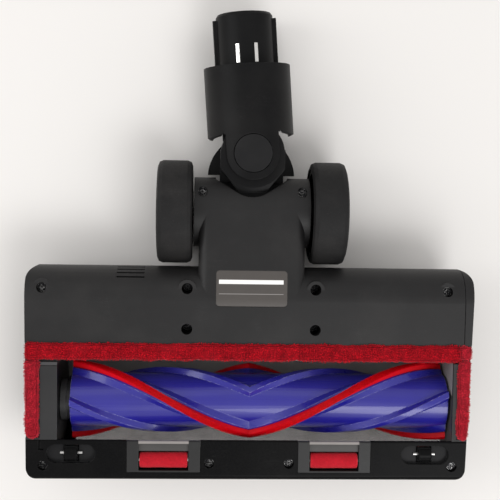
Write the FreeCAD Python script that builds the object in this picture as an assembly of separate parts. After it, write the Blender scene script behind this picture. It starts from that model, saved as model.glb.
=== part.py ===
import FreeCAD, Part
import math
import os

# Motorised carpet brush head of a stick vacuum cleaner, lying on its back with the sole up.
# X runs across the head, Y from the brush to the wand, Z up from the table. All sizes in mm.

# Head
head_half_width = 126.3
head_front_y = -133.0
head_rear_y = -13.0
sole_below_wheels = 4.2
wall = 2.5
head_corner_round = 7.0
head_rear_round = 18.0
chamber_lip_round = 3.0
front_taper_left = 1.0
front_taper_right = 2.7

# Brush chamber and its clear window
chamber_y = -91.0
chamber_half_depth = 26.0
drive_bay_width = 18.3
window_split_y = -93.0
window_drop = 11.5
window_flange_inset = 4.0
window_flange_side_gap = 0.5

# Rear body with the two arms of the pitch joint
axle_y = 18.0
arm_r = 20.0
arm_overhang = 3.0
rear_body_half_width = 30.0
rear_body_front_round = 15.0
rear_body_front_y = -16.0
rear_body_side_round = 6.0
vee_half_width = 24.0
vee_mouth_y = 39.0
vee_bottom_y = 27.2
vee_bottom_round = 16.0
pitch_slot_inset = 1.0

# Vents and label field of the rear panel
vent_left_x = -75.8
vent_right_x = -60.2
vent_width = 1.2
vent_first_deg = 14.0
vent_step_deg = 10.4
vent_count = 4
rating_half_width = 20.0
rating_front_y = -34.0
rating_back_y = -13.8
rating_corner_round = 2.0
rating_thickness = 0.5
rating_recess = 0.1

# Comb of small notches along the rear edge of the brush opening
comb_pitch = 4.6
comb_slot_width = 1.7
comb_slot_depth = 1.3
comb_slot_height = 3.0
comb_first_x = -52.0
comb_last_x = 36.0

# Front strip
strip_back_y = -110.0
strip_wall = 2.0
strip_front_round = 3.0
strip_back_round = 1.0
strip_lower_round = 1.5
strip_inner_round = 0.5
groove_inset = 7.9
groove_length = 6.0
groove_width = 1.0
groove_depth = 1.2

# Removable end cap with its coin lock and bearing
cap_width = 5.3
cap_gap = 0.3
cap_plug_length = 5.7
cap_bearing_boss_r = 8.6
end_bearing_r = 6.5
end_bearing_length = 5.0
lock_y = -44.0
lock_drop = 21.0
lock_r = 8.0
lock_depth = 2.2
lock_stem_r = 3.0
lock_gap = 0.3
lock_boss_wall = 2.0
lock_face_inset = 0.4
lock_floor_gap = 0.1
lock_slot_width = 2.0
lock_slot_depth = 1.0
lock_slot_inset = 1.5

# Brush bar
brush_drop = 20.0
brush_left_gap = 6.5
brush_right_gap = 1.4
brush_core_r = 15.6
brush_ridge_r = 18.6
ridge_root_depth = 1.0
ridge_pitch = 236.0
ridge_seam_deg = 150.0
bristle_r = 22.4
bristle_width = 4.7
bristle_gap = 0.1
holder_base_width = 14.0
holder_top_width = 6.6
rib_base_width = 8.0
rib_top_width = 3.4
brush_bore_r = 11.5
brush_end_wall = 6.9
brush_stub_r = 3.0
brush_stub_end_gap = 0.5

# Drive at the left end
motor_y = -38.5
motor_drop = 18.0
motor_r = 14.0
motor_gap = 0.2
motor_bay_gap = 8.0
motor_right_x = -50.0
motor_shaft_r = 1.6
motor_nose_r = 5.0
motor_nose_length = 2.5
motor_tail_r = 6.0
motor_tail_length = 3.0
rotor_overhang = 0.5
pinion_r = 4.8
pulley_r = 13.2
drive_end_gap = 4.0
drive_width = 6.0
drive_cover_setback = 3.0
belt_thickness = 1.6
belt_gap = 0.3
belt_side_inset = 0.5
hub_gap = 0.4
hub_flange_r = 12.0
hub_flange_width = 3.4
hub_shaft_r = 4.0
hub_shaft_gap = 1.0
hub_plug_depth = 7.0
hub_plug_gap = 0.3

# Ribs that cradle the motor
rib_inset_left = 8.0
rib_inset_right = 10.0
rib_thickness = 1.25

# Control board on its posts
board_left_x = 44.0
board_end_gap = 26.3
board_front_y = -58.0
board_rear_y = -30.0
board_thickness = 1.6
board_margin = 4.0
board_post_r = 2.4
board_post_inset = 3.5
socket_length = 10.0
socket_width = 8.0
socket_height = 9.0
capacitor_r = 5.0
capacitor_height = 12.0

# Air duct from the chamber to the pitch joint
duct_wall = 1.6
duct_half_width = 20.0
duct_low_drop = 5.4
duct_high_drop = 6.5
duct_corner_round = 5.0
duct_rear_y = -4.0

# Plush strips
plush_rise = 1.8
plush_depth = 1.5
plush_gap = 0.3
plush_edge_round = 1.4
rear_plush_front_y = -64.7
rear_plush_back_y = -55.6
plush_end_inset = 0.9
plush_side_inset = 0.4
side_plush_width = 7.8
side_plush_front_y = -108.6
cap_plush_inset = 7.9
cap_plush_break_y = -62.6
cap_plush_break = 1.4

# Rollers in their brackets
roller_x = 48.3
roller_y = -121.9
roller_drop = 3.0
roller_r = 4.5
roller_length = 27.0
roller_edge = 0.8
roller_end_gap = 0.5
roller_side_gap = 0.9
roller_pin_r = 1.2
roller_pin_overhang = 2.9
pin_end_gap = 0.1
bracket_half_width = 20.6
bracket_back_y = -110.4
bracket_front_y = -128.2
bracket_rise = 0.5
bracket_floor = 1.6
bracket_gap = 0.1
bracket_step_depth = 1.2
bracket_step_wall = 1.6

# Glide wheels in their pill-shaped recesses
glide_end_gap = 26.1
glide_y = -118.0
glide_drop = 3.0
glide_r = 4.3
glide_width = 7.6
glide_edge = 0.6
glide_side_gap = 0.5
glide_rim_gap = 0.6
glide_pin_r = 1.0
glide_pin_overhang = 2.4
pill_half_length = 13.6
pill_r = 5.3
pill_depth = 3.0
pocket_wall = 1.5

# Rear wheels
wheel_r = 29.6
wheel_side_gap = 0.9
wheel_width = 20.0
tyre_thickness = 4.0
tyre_edge_round = 3.0
wheel_hub_inset = 1.0
wheel_boss_r = 7.0
wheel_dish_depth = 7.0
wheel_rim_thickness = 2.5
wheel_face_rise = 0.6
wheel_face_shoulder = 3.0
wheel_recess_r = 6.2
wheel_recess_depth = 2.0
wheel_axle_r = 2.5
wheel_axle_head_r = 4.5
wheel_axle_head_length = 1.5
wheel_axle_gap = 0.1
axle_root_gap = 1.0
shaft_clearance = 0.05

# Knuckle
barrel_r = 17.5
barrel_wall = 2.5
barrel_half_width = 20.3
barrel_gap = 0.6
barrel_side_gap = 0.5
trunnion_r = 8.0
trunnion_end_x = 25.0
trunnion_end_gap = 0.3
yaw_y = 52.0
neck_drop = 4.4
boss_r = 18.0
boss_half_height = 18.5
knuckle_duct_r = 12.5
link_start_y = 22.0
link_drop = 12.0
plate_half_width = 18.3
plate_foot_half_width = 7.2
plate_foot_y = 29.4
plate_corner_y = 43.0
plate_back_y = 54.0
plate_pad_r = 19.5
plate_slope_deg = 20.0
hood_y = 38.0
hood_r = 25.4
hood_edge_y = 39.5
hood_drop = 3.2

# Collar, ears and spigot, drawn straight and then turned at the yaw pivot as the neck lies
neck_yaw_deg = 4.2
collar_r = 25.0
collar_bore_r = 22.0
collar_start = 9.0
collar_end = 50.0
collar_start_slope_deg = 7.0
collar_corner_round = 3.0
ear_half_width = 15.0
ear_gap = 0.7
collar_clear_r = 20.3
hood_clear_r = 29.4
pivot_cap_r = 10.65
pivot_cap_gap = 0.35
pivot_cap_floor_gap = 0.1
pivot_cap_top = 24.3
pivot_cap_thickness = 3.4
pivot_pin_r = 5.0
pivot_pin_length = 9.0
spigot_r = 16.4
spigot_bore_r = 13.9
spigot_start = 21.0
spigot_end = 80.1
spigot_tip_length = 1.5
spigot_tip_narrowing = 1.0
spigot_flange_width = 3.0
spigot_flange_gap = 0.1
spigot_rib_r = 18.4
spigot_rib_width = 6.0
spigot_rib_end = 77.1
contact_spacing = 10.6
contact_width = 2.0
contact_start = 51.5
contact_length = 10.6
contact_gap = 0.3
contact_slot_depth = 1.6
contact_recess = 0.5

# Screws
screw_head_r = 2.4
screw_head_height = 1.7
screw_shank_r = 1.3
screw_length = 9.0
counterbore_r = 2.8
counterbore_depth = 2.2
deep_screw_x = 36.1
deep_screw_rows = (-46.9, -24.2)
deep_screw_drop = 14.0
deep_hole_r = 3.1
screw_boss_r = 5.0
strip_boss_r = 4.0
corner_boss_drop = 18.5
corner_screw_left_inset = 9.3
corner_screw_right_inset = 15.1
corner_screw_y = -24.5
strip_screw_outer_inset = 10.4
strip_screw_inner_x = 22.6
strip_screw_outer_y = -124.8
strip_screw_inner_y = -123.3
arm_screw_inset = 1.8
arm_screw_y = 30.1

# Worked out from the sizes above: the wheels carry the head's heights, its ends carry what sits near them
axle_z = wheel_r
split_z = axle_z
sole_z = 2.0 * wheel_r - sole_below_wheels
neck_z = axle_z - neck_drop
link_low_z = neck_z - link_drop
hood_top_z = neck_z - hood_drop
dome_r = chamber_half_depth + wall
dome_z = dome_r
chamber_rear_y = chamber_y + chamber_half_depth
chamber_front_y = chamber_y - chamber_half_depth
chamber_left_x = drive_bay_width - head_half_width
window_top_z = sole_z - window_drop
brush_y = chamber_y
brush_z = sole_z - brush_drop
brush_left_x = chamber_left_x + brush_left_gap
cap_seam_x = head_half_width - cap_width
cap_inner_x = cap_seam_x + cap_gap
cap_plug_x = cap_seam_x - cap_plug_length
brush_right_x = cap_plug_x - brush_right_gap
brush_bore_end_x = brush_right_x - brush_end_wall
end_bearing_right_x = cap_seam_x
end_bearing_left_x = end_bearing_right_x - end_bearing_length
lock_z = sole_z - lock_drop
arm_end_x = rear_body_half_width + arm_overhang
slot_half_width = barrel_half_width + barrel_side_gap
sleeve_inset = arm_r - barrel_r - barrel_gap
plush_top_z = sole_z + plush_rise
plush_floor_z = sole_z - plush_depth
rear_plush_left_x = plush_end_inset - head_half_width
cap_plush_left_x = head_half_width - cap_plush_inset
groove_x = groove_inset - head_half_width
motor_z = sole_z - motor_drop
motor_left_x = chamber_left_x + motor_bay_gap
motor_length = motor_right_x - motor_left_x
rib_places = (motor_left_x + rib_inset_left, motor_right_x - rib_inset_right)
drive_left_x = drive_end_gap - head_half_width
drive_right_x = drive_left_x + drive_width
hub_left_x = chamber_left_x + hub_gap
board_right_x = head_half_width - board_end_gap
duct_low_z = axle_z - duct_low_drop
duct_high_z = sole_z - duct_high_drop
roller_z = sole_z - roller_drop
glide_x = head_half_width - glide_end_gap
glide_z = sole_z - glide_drop
pill_floor_z = sole_z - pill_depth
wheel_inner_x = arm_end_x + wheel_side_gap
wheel_rim_r = wheel_r - tyre_thickness
wheel_face_x = wheel_inner_x + wheel_width - wheel_hub_inset
wheel_recess_x = wheel_face_x + wheel_face_rise - wheel_recess_depth
bracket_low_z = roller_z - roller_r - roller_side_gap - bracket_floor
deep_screw_head_z = sole_z - deep_screw_drop
corner_boss_low_z = sole_z - corner_boss_drop
corner_screw_left_x = corner_screw_left_inset - head_half_width
corner_screw_right_x = head_half_width - corner_screw_right_inset
strip_screw_outer_x = head_half_width - strip_screw_outer_inset
arm_screw_x = rear_body_half_width - arm_screw_inset

# How far a cutting shape runs past the face that it opens, and how far apart swept halves may join
past = 1.0
seam_tolerance = 0.01

AXES = {"x": FreeCAD.Vector(1, 0, 0), "y": FreeCAD.Vector(0, 1, 0), "z": FreeCAD.Vector(0, 0, 1)}
BIG = 400.0


def place(axis, u, v):
    """Point of an outline: (y, z) across X, (x, z) across Y, (x, y) across Z."""
    if axis == "x":
        return FreeCAD.Vector(0, u, v)
    if axis == "y":
        return FreeCAD.Vector(u, 0, v)
    return FreeCAD.Vector(u, v, 0)


def hull_wire(axis, circles):
    """Closed outline drawn tight round circles (u, v, radius) that are listed anticlockwise."""
    count = len(circles)
    normals = []
    for index in range(count):
        u0, v0, r0 = circles[index]
        u1, v1, r1 = circles[(index + 1) % count]
        length = math.hypot(u1 - u0, v1 - v0)
        along = (r0 - r1) / length
        across = math.sqrt(1.0 - along * along)
        normal_u = (along * (u1 - u0) + across * (v1 - v0)) / length
        normal_v = (along * (v1 - v0) - across * (u1 - u0)) / length
        normals.append(math.atan2(normal_v, normal_u))
    edges = []
    for index in range(count):
        u0, v0, r0 = circles[index]
        u1, v1, r1 = circles[(index + 1) % count]
        start = normals[index - 1]
        end = normals[index]
        while end < start - 1e-9:
            end += 2.0 * math.pi
        if r0 > 0 and end - start > 1e-6:
            middle = (start + end) / 2.0
            points = [place(axis, u0 + r0 * math.cos(a), v0 + r0 * math.sin(a)) for a in (start, middle, end)]
            edges.append(Part.Arc(*points).toShape())
        leave = place(axis, u0 + r0 * math.cos(end), v0 + r0 * math.sin(end))
        arrive = place(axis, u1 + r1 * math.cos(end), v1 + r1 * math.sin(end))
        if leave.distanceToPoint(arrive) > 1e-6:
            edges.append(Part.LineSegment(leave, arrive).toShape())
    return Part.Wire(edges)


def prism(axis, circles, start, end):
    face = Part.Face(hull_wire(axis, circles))
    face.translate(AXES[axis] * start)
    return face.extrude(AXES[axis] * (end - start))


def box(x0, x1, y0, y1, z0, z1):
    return Part.makeBox(x1 - x0, y1 - y0, z1 - z0, FreeCAD.Vector(x0, y0, z0))


def rod(axis, start, end, u, v, radius):
    """Cylinder along an axis between two places, given in either order."""
    base = place(axis, u, v) + AXES[axis] * min(start, end)
    return Part.makeCylinder(radius, abs(end - start), base, AXES[axis])


def cone(axis, start, end, u, v, start_r, end_r):
    base = place(axis, u, v) + AXES[axis] * start
    return Part.makeCone(start_r, end_r, end - start, base, AXES[axis])


def pill(x, y, half_length, radius, low_z, high_z):
    """Round-ended block along X."""
    reach = half_length - radius
    return prism("z", [(x + reach, y, radius), (x - reach, y, radius)], low_z, high_z)


def fuse(shapes):
    return shapes[0].fuse(shapes[1:]).removeSplitter()


def spun(profile_points, axis_y, axis_z):
    """Solid turned about an axle along X from (x, radius) points."""
    points = [FreeCAD.Vector(x, axis_y + radius, axis_z) for x, radius in profile_points]
    face = Part.Face(Part.makePolygon(points + points[:1]))
    return face.revolve(FreeCAD.Vector(0, axis_y, axis_z), AXES["x"], 360)


def screw(x, y, head_z):
    """Screw with its head at head_z and its shank pointing down."""
    head = rod("z", head_z - screw_head_height, head_z, x, y, screw_head_r)
    shank = rod("z", head_z - screw_length, head_z - screw_head_height, x, y, screw_shank_r)
    return head.fuse(shank)


def head_section(inset):
    """Teardrop section of the head: rounded rear, flat sole, domed chamber."""
    return [
        (head_rear_y - head_rear_round, sole_z - head_rear_round, head_rear_round - inset),
        (chamber_y - dome_r + chamber_lip_round, sole_z - chamber_lip_round, chamber_lip_round - inset),
        (chamber_y, dome_z, dome_r - inset),
    ]


def head_plan(inset):
    """Plan outline of the head with its slightly tapering ends."""
    corner = head_corner_round - inset
    rear = head_rear_y - head_corner_round
    front = head_front_y + head_corner_round
    side = head_half_width - head_corner_round
    return [
        (side, rear, corner),
        (-side, rear, corner),
        (-side + front_taper_left, front, corner),
        (side - front_taper_right, front, corner),
    ]


def rear_body_section(inset):
    return [
        (axle_y, axle_z, arm_r - inset),
        (head_rear_y - head_rear_round, sole_z - rear_body_front_round, rear_body_front_round - inset),
    ]


def strip_outline(rise):
    """Section of the front strip, with its top raised by rise for what stands proud of it."""
    return [
        (strip_back_y - strip_back_round, sole_z - strip_back_round + rise, strip_back_round),
        (head_front_y + strip_front_round, sole_z - strip_front_round + rise, strip_front_round),
        (head_front_y + strip_lower_round, window_top_z + strip_lower_round, strip_lower_round),
        (chamber_front_y - strip_inner_round, window_top_z + strip_inner_round, strip_inner_round),
    ]


def strip_hollow():
    """Inside of the strip, open at its underside."""
    inset = strip_wall + strip_inner_round
    return [
        (strip_back_y - inset, sole_z - inset, strip_inner_round),
        (head_front_y + strip_front_round, sole_z - strip_front_round, strip_front_round - strip_wall),
        (head_front_y + inset, window_top_z - past, strip_inner_round),
        (chamber_front_y - inset, window_top_z - past, strip_inner_round),
    ]


def chamber_section(inset):
    """Round-bottomed trough of the brush chamber, open at the sole."""
    return [
        (chamber_rear_y - inset, BIG, 0.0),
        (chamber_front_y + inset, BIG, 0.0),
        (chamber_y, dome_z, chamber_half_depth - inset),
    ]


def head_blank():
    body = prism("x", head_section(0.0), -head_half_width, head_half_width)
    return body.common(prism("z", head_plan(0.0), 0.0, sole_z))


def duct_prism(inset, start_y, end_y):
    corner = duct_corner_round - inset
    half = duct_half_width - duct_corner_round
    low = duct_low_z + duct_corner_round
    high = duct_high_z - duct_corner_round
    circles = [(half, high, corner), (-half, high, corner), (-half, low, corner), (half, low, corner)]
    return prism("y", circles, start_y, end_y)


def housing():
    """Both shells of the head in one, hollow, with the arms and the open chamber."""
    inner = prism("x", head_section(wall), wall - head_half_width, cap_seam_x - wall)
    inner = inner.common(prism("z", head_plan(wall), 0.0, sole_z))
    rear_bay = inner.common(box(-BIG, BIG, chamber_rear_y + wall, BIG, 0.0, BIG))
    drive_bay = inner.common(box(-BIG, chamber_left_x - wall, -BIG, BIG, 0.0, BIG))
    chamber = prism("x", chamber_section(0.0), chamber_left_x, BIG)
    arms = rod("x", -arm_end_x, arm_end_x, axle_y, axle_z, arm_r)
    rear_body = prism("x", rear_body_section(0.0), -rear_body_half_width, rear_body_half_width)
    rims = [edge for edge in rear_body.Edges if edge.BoundBox.XLength < past]
    rear_body = rear_body.makeFillet(rear_body_side_round, rims)
    outer = fuse([head, rear_body, arms])
    outer = outer.cut(box(cap_seam_x, BIG, -BIG, BIG, -BIG, BIG))
    sleeve = prism("x", rear_body_section(sleeve_inset), -slot_half_width, slot_half_width)
    hollow = outer.cut(rear_bay).cut(drive_bay).cut(chamber).cut(sleeve)
    pitch_slot_y = axle_y - barrel_r + pitch_slot_inset
    pitch_slot = box(-slot_half_width, slot_half_width, pitch_slot_y, BIG, -past, axle_z)
    vee = prism("z", [
        (vee_half_width, vee_mouth_y, 0.0),
        (-vee_half_width, vee_mouth_y, 0.0),
        (0.0, vee_bottom_y + vee_bottom_round, vee_bottom_round),
    ], axle_z, sole_z)
    hollow = hollow.cut(pitch_slot).cut(vee)
    for side in (-1, 1):
        bearing = rod("x", side * slot_half_width, side * (trunnion_end_x + trunnion_end_gap), axle_y, axle_z,
                      trunnion_r + shaft_clearance)
        axle_hole = rod("x", side * (trunnion_end_x + axle_root_gap), side * (arm_end_x + past),
                        axle_y, axle_z, wheel_axle_r)
        hollow = hollow.cut(bearing).cut(axle_hole)
    duct_hole = duct_prism(duct_wall, chamber_rear_y - past, chamber_rear_y + wall + past)
    return hollow.cut(duct_hole)


def air_duct():
    start_y = chamber_rear_y + wall
    tube = duct_prism(0.0, start_y, duct_rear_y)
    return tube.cut(duct_prism(duct_wall, start_y - past, duct_rear_y + past))


def deep_screw_places():
    return [(side * deep_screw_x, row) for side in (-1, 1) for row in deep_screw_rows]


def corner_screw_places():
    return [(corner_screw_left_x, corner_screw_y), (corner_screw_right_x, corner_screw_y)]


def strip_screw_places():
    outer = [(side * strip_screw_outer_x, strip_screw_outer_y) for side in (-1, 1)]
    return outer + [(side * strip_screw_inner_x, strip_screw_inner_y) for side in (-1, 1)]


def arm_screw_places():
    return [(side * arm_screw_x, arm_screw_y) for side in (-1, 1)]


def arm_surface_z(y):
    return axle_z + math.sqrt(arm_r * arm_r - (y - axle_y) ** 2)


def rear_surface_z(y):
    reach = y - (head_rear_y - head_rear_round)
    if reach <= 0:
        return sole_z
    return sole_z - head_rear_round + math.sqrt(head_rear_round ** 2 - reach * reach)


def counterbored(shape, places, top_z):
    """Cuts a sunk screw hole at each place, down from the surface height that top_z gives."""
    for x, y in places:
        top = top_z(y)
        shape = shape.cut(rod("z", top - counterbore_depth - screw_head_height, BIG, x, y, counterbore_r))
        shape = shape.cut(rod("z", top - counterbore_depth - screw_length, BIG, x, y, screw_shank_r))
    return shape


def vent_slots():
    """Slots cut square to the rounded rear edge."""
    centre_y = head_rear_y - head_rear_round
    centre_z = sole_z - head_rear_round
    slots = []
    for index in range(vent_count):
        slot = box(vent_left_x, vent_right_x, head_rear_round - 2.0 * wall, head_rear_round + wall,
                   -vent_width / 2.0, vent_width / 2.0)
        slot.rotate(FreeCAD.Vector(0, 0, 0), AXES["x"], vent_first_deg + index * vent_step_deg)
        slot.translate(FreeCAD.Vector(0, centre_y, centre_z))
        slots.append(slot)
    return slots


def rating_prism(top_inset, bottom_inset):
    """Plate laid on the sloping roof of the rear body."""
    roof = prism("x", rear_body_section(top_inset), -rating_half_width, rating_half_width)
    roof = roof.cut(prism("x", rear_body_section(bottom_inset), -rating_half_width, rating_half_width))
    side = rating_half_width - rating_corner_round
    back = rating_back_y - rating_corner_round
    front = rating_front_y + rating_corner_round
    corners = [(side, back), (-side, back), (-side, front), (side, front)]
    plan = prism("z", [(x, y, rating_corner_round) for x, y in corners], axle_z + arm_r / 2.0, sole_z + past)
    return roof.common(plan)


def plush_recess(x0, x1, y0, y1):
    return box(x0, x1, y0, y1, plush_floor_z, sole_z + past)


def motor_rib(x, low_z, high_z):
    rib = box(x, x + rib_thickness, chamber_rear_y + wall / 2.0, rear_body_front_y, low_z, high_z)
    return rib.cut(rod("x", -BIG, BIG, motor_y, motor_z, motor_r + motor_gap))


def drive_cover_zone():
    """Sole plate beside the brush opening and the wall of the drive bay below it."""
    rear_y = chamber_rear_y - drive_cover_setback
    plate = box(rear_plush_left_x + side_plush_width, chamber_left_x, -BIG, rear_y, sole_z - wall, BIG)
    return plate.fuse(box(chamber_left_x - wall, chamber_left_x, -BIG, rear_y, split_z, BIG))


def strip_zone():
    """All that the front strip takes the place of."""
    front = box(-BIG, BIG, -BIG, chamber_front_y, window_top_z, BIG)
    lip = box(-BIG, BIG, -BIG, strip_back_y, sole_z - wall, BIG)
    return prism("x", strip_outline(0.0), -BIG, BIG).fuse([front, lip])


def window_zone():
    return box(chamber_left_x, BIG, -BIG, window_split_y, -past, window_top_z)


def comb_slots():
    slots = []
    x = comb_first_x
    while x <= comb_last_x:
        slots.append(box(x - comb_slot_width / 2.0, x + comb_slot_width / 2.0, chamber_rear_y - past,
                         chamber_rear_y + comb_slot_depth, plush_floor_z - comb_slot_height, sole_z + past))
        x += comb_pitch
    return slots


def bottom_shell():
    """Sole-side shell: rear panel, left end, arms and the upper half of the chamber's rear wall."""
    shell = shells.common(box(-BIG, BIG, -BIG, BIG, split_z, BIG))
    shell = shell.cut(strip_zone()).cut(window_zone()).cut(drive_cover_zone())
    inside = prism("x", head_section(wall / 2.0), -BIG, BIG)
    bosses = []
    for x, y in deep_screw_places():
        bosses.append(rod("z", split_z, sole_z - wall / 2.0, x, y, screw_boss_r))
    for x, y in corner_screw_places():
        bosses.append(rod("z", corner_boss_low_z, rear_surface_z(y) - wall / 2.0, x, y, screw_boss_r))
    for x in rib_places:
        bosses.append(motor_rib(x, split_z, sole_z - wall).common(inside))
    shell = fuse([shell] + bosses)
    for x, y in deep_screw_places():
        shell = shell.cut(rod("z", deep_screw_head_z - screw_head_height, BIG, x, y, deep_hole_r))
        shell = shell.cut(rod("z", 0.0, BIG, x, y, screw_shank_r))
    shell = counterbored(shell, corner_screw_places(), rear_surface_z)
    shell = counterbored(shell, arm_screw_places(), arm_surface_z)
    shell = shell.cut(vent_slots() + comb_slots()).cut(rating_prism(-past, rating_thickness))
    shell = shell.cut(plush_recess(-BIG, BIG, chamber_rear_y - past, rear_plush_back_y + plush_gap))
    return shell.cut(plush_recess(-BIG, rear_plush_left_x + side_plush_width + plush_gap,
                                  side_plush_front_y - plush_gap, rear_plush_back_y))


def top_shell():
    """Floor-side half of the head, with the dome over the drive end."""
    shell = shells.common(box(-BIG, BIG, -BIG, BIG, -BIG, split_z))
    shell = shell.cut(window_zone())
    bosses = []
    for x, y in deep_screw_places():
        bosses.append(rod("z", 0.0, split_z, x, y, screw_boss_r))
    for x in rib_places:
        bosses.append(motor_rib(x, 0.0, split_z))
    for x, y in board_post_places():
        bosses.append(rod("z", 0.0, split_z, x, y, board_post_r))
    inside = prism("x", head_section(wall / 2.0), -BIG, BIG)
    shell = fuse([shell] + [boss.common(inside) for boss in bosses])
    for x, y in deep_screw_places():
        shell = shell.cut(rod("z", split_z - screw_length, split_z, x, y, screw_shank_r))
    return shell


def brush_window():
    """Clear front of the brush chamber with its flange under the front strip."""
    window = shells.common(window_zone())
    flange = box(chamber_left_x, cap_seam_x, head_front_y + window_flange_inset, chamber_front_y - wall / 2.0,
                 window_top_z - wall, window_top_z)
    window = window.fuse(flange.common(prism("z", head_plan(window_flange_side_gap), 0.0, sole_z)))
    return window.removeSplitter()


def bracket_box(side, gap):
    return box(side * roller_x - bracket_half_width - gap, side * roller_x + bracket_half_width + gap,
               bracket_front_y - gap, BIG, bracket_low_z - gap, BIG)


def glide_slot(side, gap):
    """Box round a glide wheel, wider than its running slot by gap on each side."""
    across = glide_width / 2.0 + glide_side_gap + gap
    along = glide_r + glide_rim_gap + gap
    return box(side * glide_x - across, side * glide_x + across, glide_y - along, glide_y + along,
               glide_z - along, sole_z + past)


def front_strip():
    """Channel-section rail along the front edge, with pockets for brackets and glide wheels."""
    outer = prism("x", strip_outline(0.0), -head_half_width, head_half_width)
    outer = outer.common(prism("z", head_plan(0.0), 0.0, sole_z))
    inner = prism("x", strip_hollow(), -head_half_width, head_half_width)
    inner = inner.common(prism("z", head_plan(strip_wall), 0.0, sole_z))
    blocks = []
    for side in (-1, 1):
        blocks.append(pill(side * glide_x, glide_y, pill_half_length + pocket_wall, pill_r + pocket_wall,
                           pill_floor_z - strip_wall, sole_z))
        blocks.append(glide_slot(side, pocket_wall))
        blocks.append(bracket_box(side, pocket_wall).common(box(-BIG, BIG, -BIG, bracket_back_y, -BIG, BIG)))
    for x, y in strip_screw_places():
        blocks.append(rod("z", window_top_z, sole_z, x, y, strip_boss_r))
    strip = fuse([outer.cut(inner)] + [block.common(outer) for block in blocks])
    for side in (-1, 1):
        x = side * glide_x
        strip = strip.cut(pill(x, glide_y, pill_half_length, pill_r, pill_floor_z, sole_z + past))
        strip = strip.cut(glide_slot(side, 0.0))
        reach = glide_width / 2.0 + glide_pin_overhang + pin_end_gap
        strip = strip.cut(rod("x", x - reach, x + reach, glide_y, glide_z, glide_pin_r))
        strip = strip.cut(bracket_box(side, bracket_gap))
    groove_floor = sole_z - groove_depth
    groove_front_y = strip_back_y - groove_length
    strip = strip.cut(box(groove_x, groove_x + groove_width, groove_front_y, strip_back_y + past,
                          groove_floor, sole_z + past))
    strip = strip.cut(box(groove_x, groove_x + groove_length / 2.0,
                          groove_front_y, groove_front_y + groove_width, groove_floor, sole_z + past))
    return counterbored(strip, strip_screw_places(), lambda y: sole_z)


def roller_bracket(side):
    """Frame let into the strip that holds one red roller on its pin."""
    body = bracket_box(side, 0.0).common(prism("x", strip_outline(bracket_rise), -BIG, BIG))
    body = body.common(box(-BIG, BIG, -BIG, bracket_back_y, -BIG, BIG))
    x = side * roller_x
    half = roller_length / 2.0
    reach = roller_r + roller_side_gap
    left = x - half - roller_end_gap
    right = x + half + roller_end_gap
    pocket = box(left, right, roller_y - reach, roller_y + reach, roller_z - reach, BIG)
    step = box(left, right, roller_y, bracket_back_y - bracket_step_wall, sole_z - bracket_step_depth, BIG)
    pin_reach = half + roller_pin_overhang + pin_end_gap
    hole = rod("x", x - pin_reach, x + pin_reach, roller_y, roller_z, roller_pin_r)
    return body.cut(pocket).cut(step).cut(hole)


def small_wheel(x, y, z, half_width, radius, pin_r, edge):
    """Solid wheel with bevelled rims, bored for its pin."""
    bore = pin_r + shaft_clearance
    profile = [
        (x - half_width, bore),
        (x - half_width, radius - edge),
        (x - half_width + edge, radius),
        (x + half_width - edge, radius),
        (x + half_width, radius - edge),
        (x + half_width, bore),
    ]
    return spun(profile, y, z)


def roller(side):
    return small_wheel(side * roller_x, roller_y, roller_z, roller_length / 2.0, roller_r, roller_pin_r,
                       roller_edge)


def glide_wheel(side):
    return small_wheel(side * glide_x, glide_y, glide_z, glide_width / 2.0, glide_r, glide_pin_r, glide_edge)


def drive_cover():
    """Panel that closes the drive bay beside the brush opening, with the hub's bearing hole."""
    cover = shells.common(drive_cover_zone()).cut(strip_zone())
    return cover.cut(rod("x", -BIG, BIG, brush_y, brush_z, hub_shaft_r + hub_shaft_gap))


def grown(circles, amount):
    return [(u, v, radius + amount) for u, v, radius in circles]


def end_cap():
    """Removable right end: outer shell and the plug that closes the chamber and carries the bearing."""
    shell = head.common(box(cap_inner_x, BIG, -BIG, BIG, -BIG, BIG))
    inner = prism("x", head_section(wall), cap_inner_x - past, head_half_width - wall)
    inner = inner.common(prism("z", head_plan(wall), 0.0, sole_z))
    plug = prism("x", chamber_section(cap_gap), cap_plug_x, head_half_width - wall / 2.0)
    plug = plug.common(box(-BIG, BIG, -BIG, BIG, -BIG, sole_z))
    hollow = prism("x", chamber_section(cap_gap + wall), cap_plug_x + wall, BIG)
    hollow = hollow.common(box(-BIG, BIG, -BIG, BIG, -BIG, sole_z - wall))
    plug = plug.common(head).cut(hollow)
    boss = rod("x", cap_plug_x + wall / 2.0, head_half_width - wall, brush_y, brush_z, cap_bearing_boss_r)
    lock_boss = rod("x", cap_inner_x, head_half_width - wall, lock_y, lock_z, lock_r + lock_boss_wall)
    cap = fuse([shell.cut(inner), plug, boss, lock_boss.common(head)])
    cap = cap.cut(rod("x", cap_plug_x - past, end_bearing_right_x, brush_y, brush_z, end_bearing_r))
    clear_strip = prism("x", grown(strip_outline(0.0), cap_gap), -BIG, BIG)
    clear_window = box(-BIG, BIG, -BIG, chamber_front_y, window_top_z - wall - cap_gap, BIG)
    cap = cap.cut(clear_strip.fuse(clear_window))
    cap = cap.cut(plush_recess(cap_plush_left_x - plush_gap, BIG, side_plush_front_y - plush_gap,
                               rear_plush_back_y + plush_gap))
    cap = cap.cut(rod("x", head_half_width - lock_depth, BIG, lock_y, lock_z, lock_r + lock_gap))
    return cap.cut(rod("x", 0.0, BIG, lock_y, lock_z, lock_stem_r + shaft_clearance))


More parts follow.
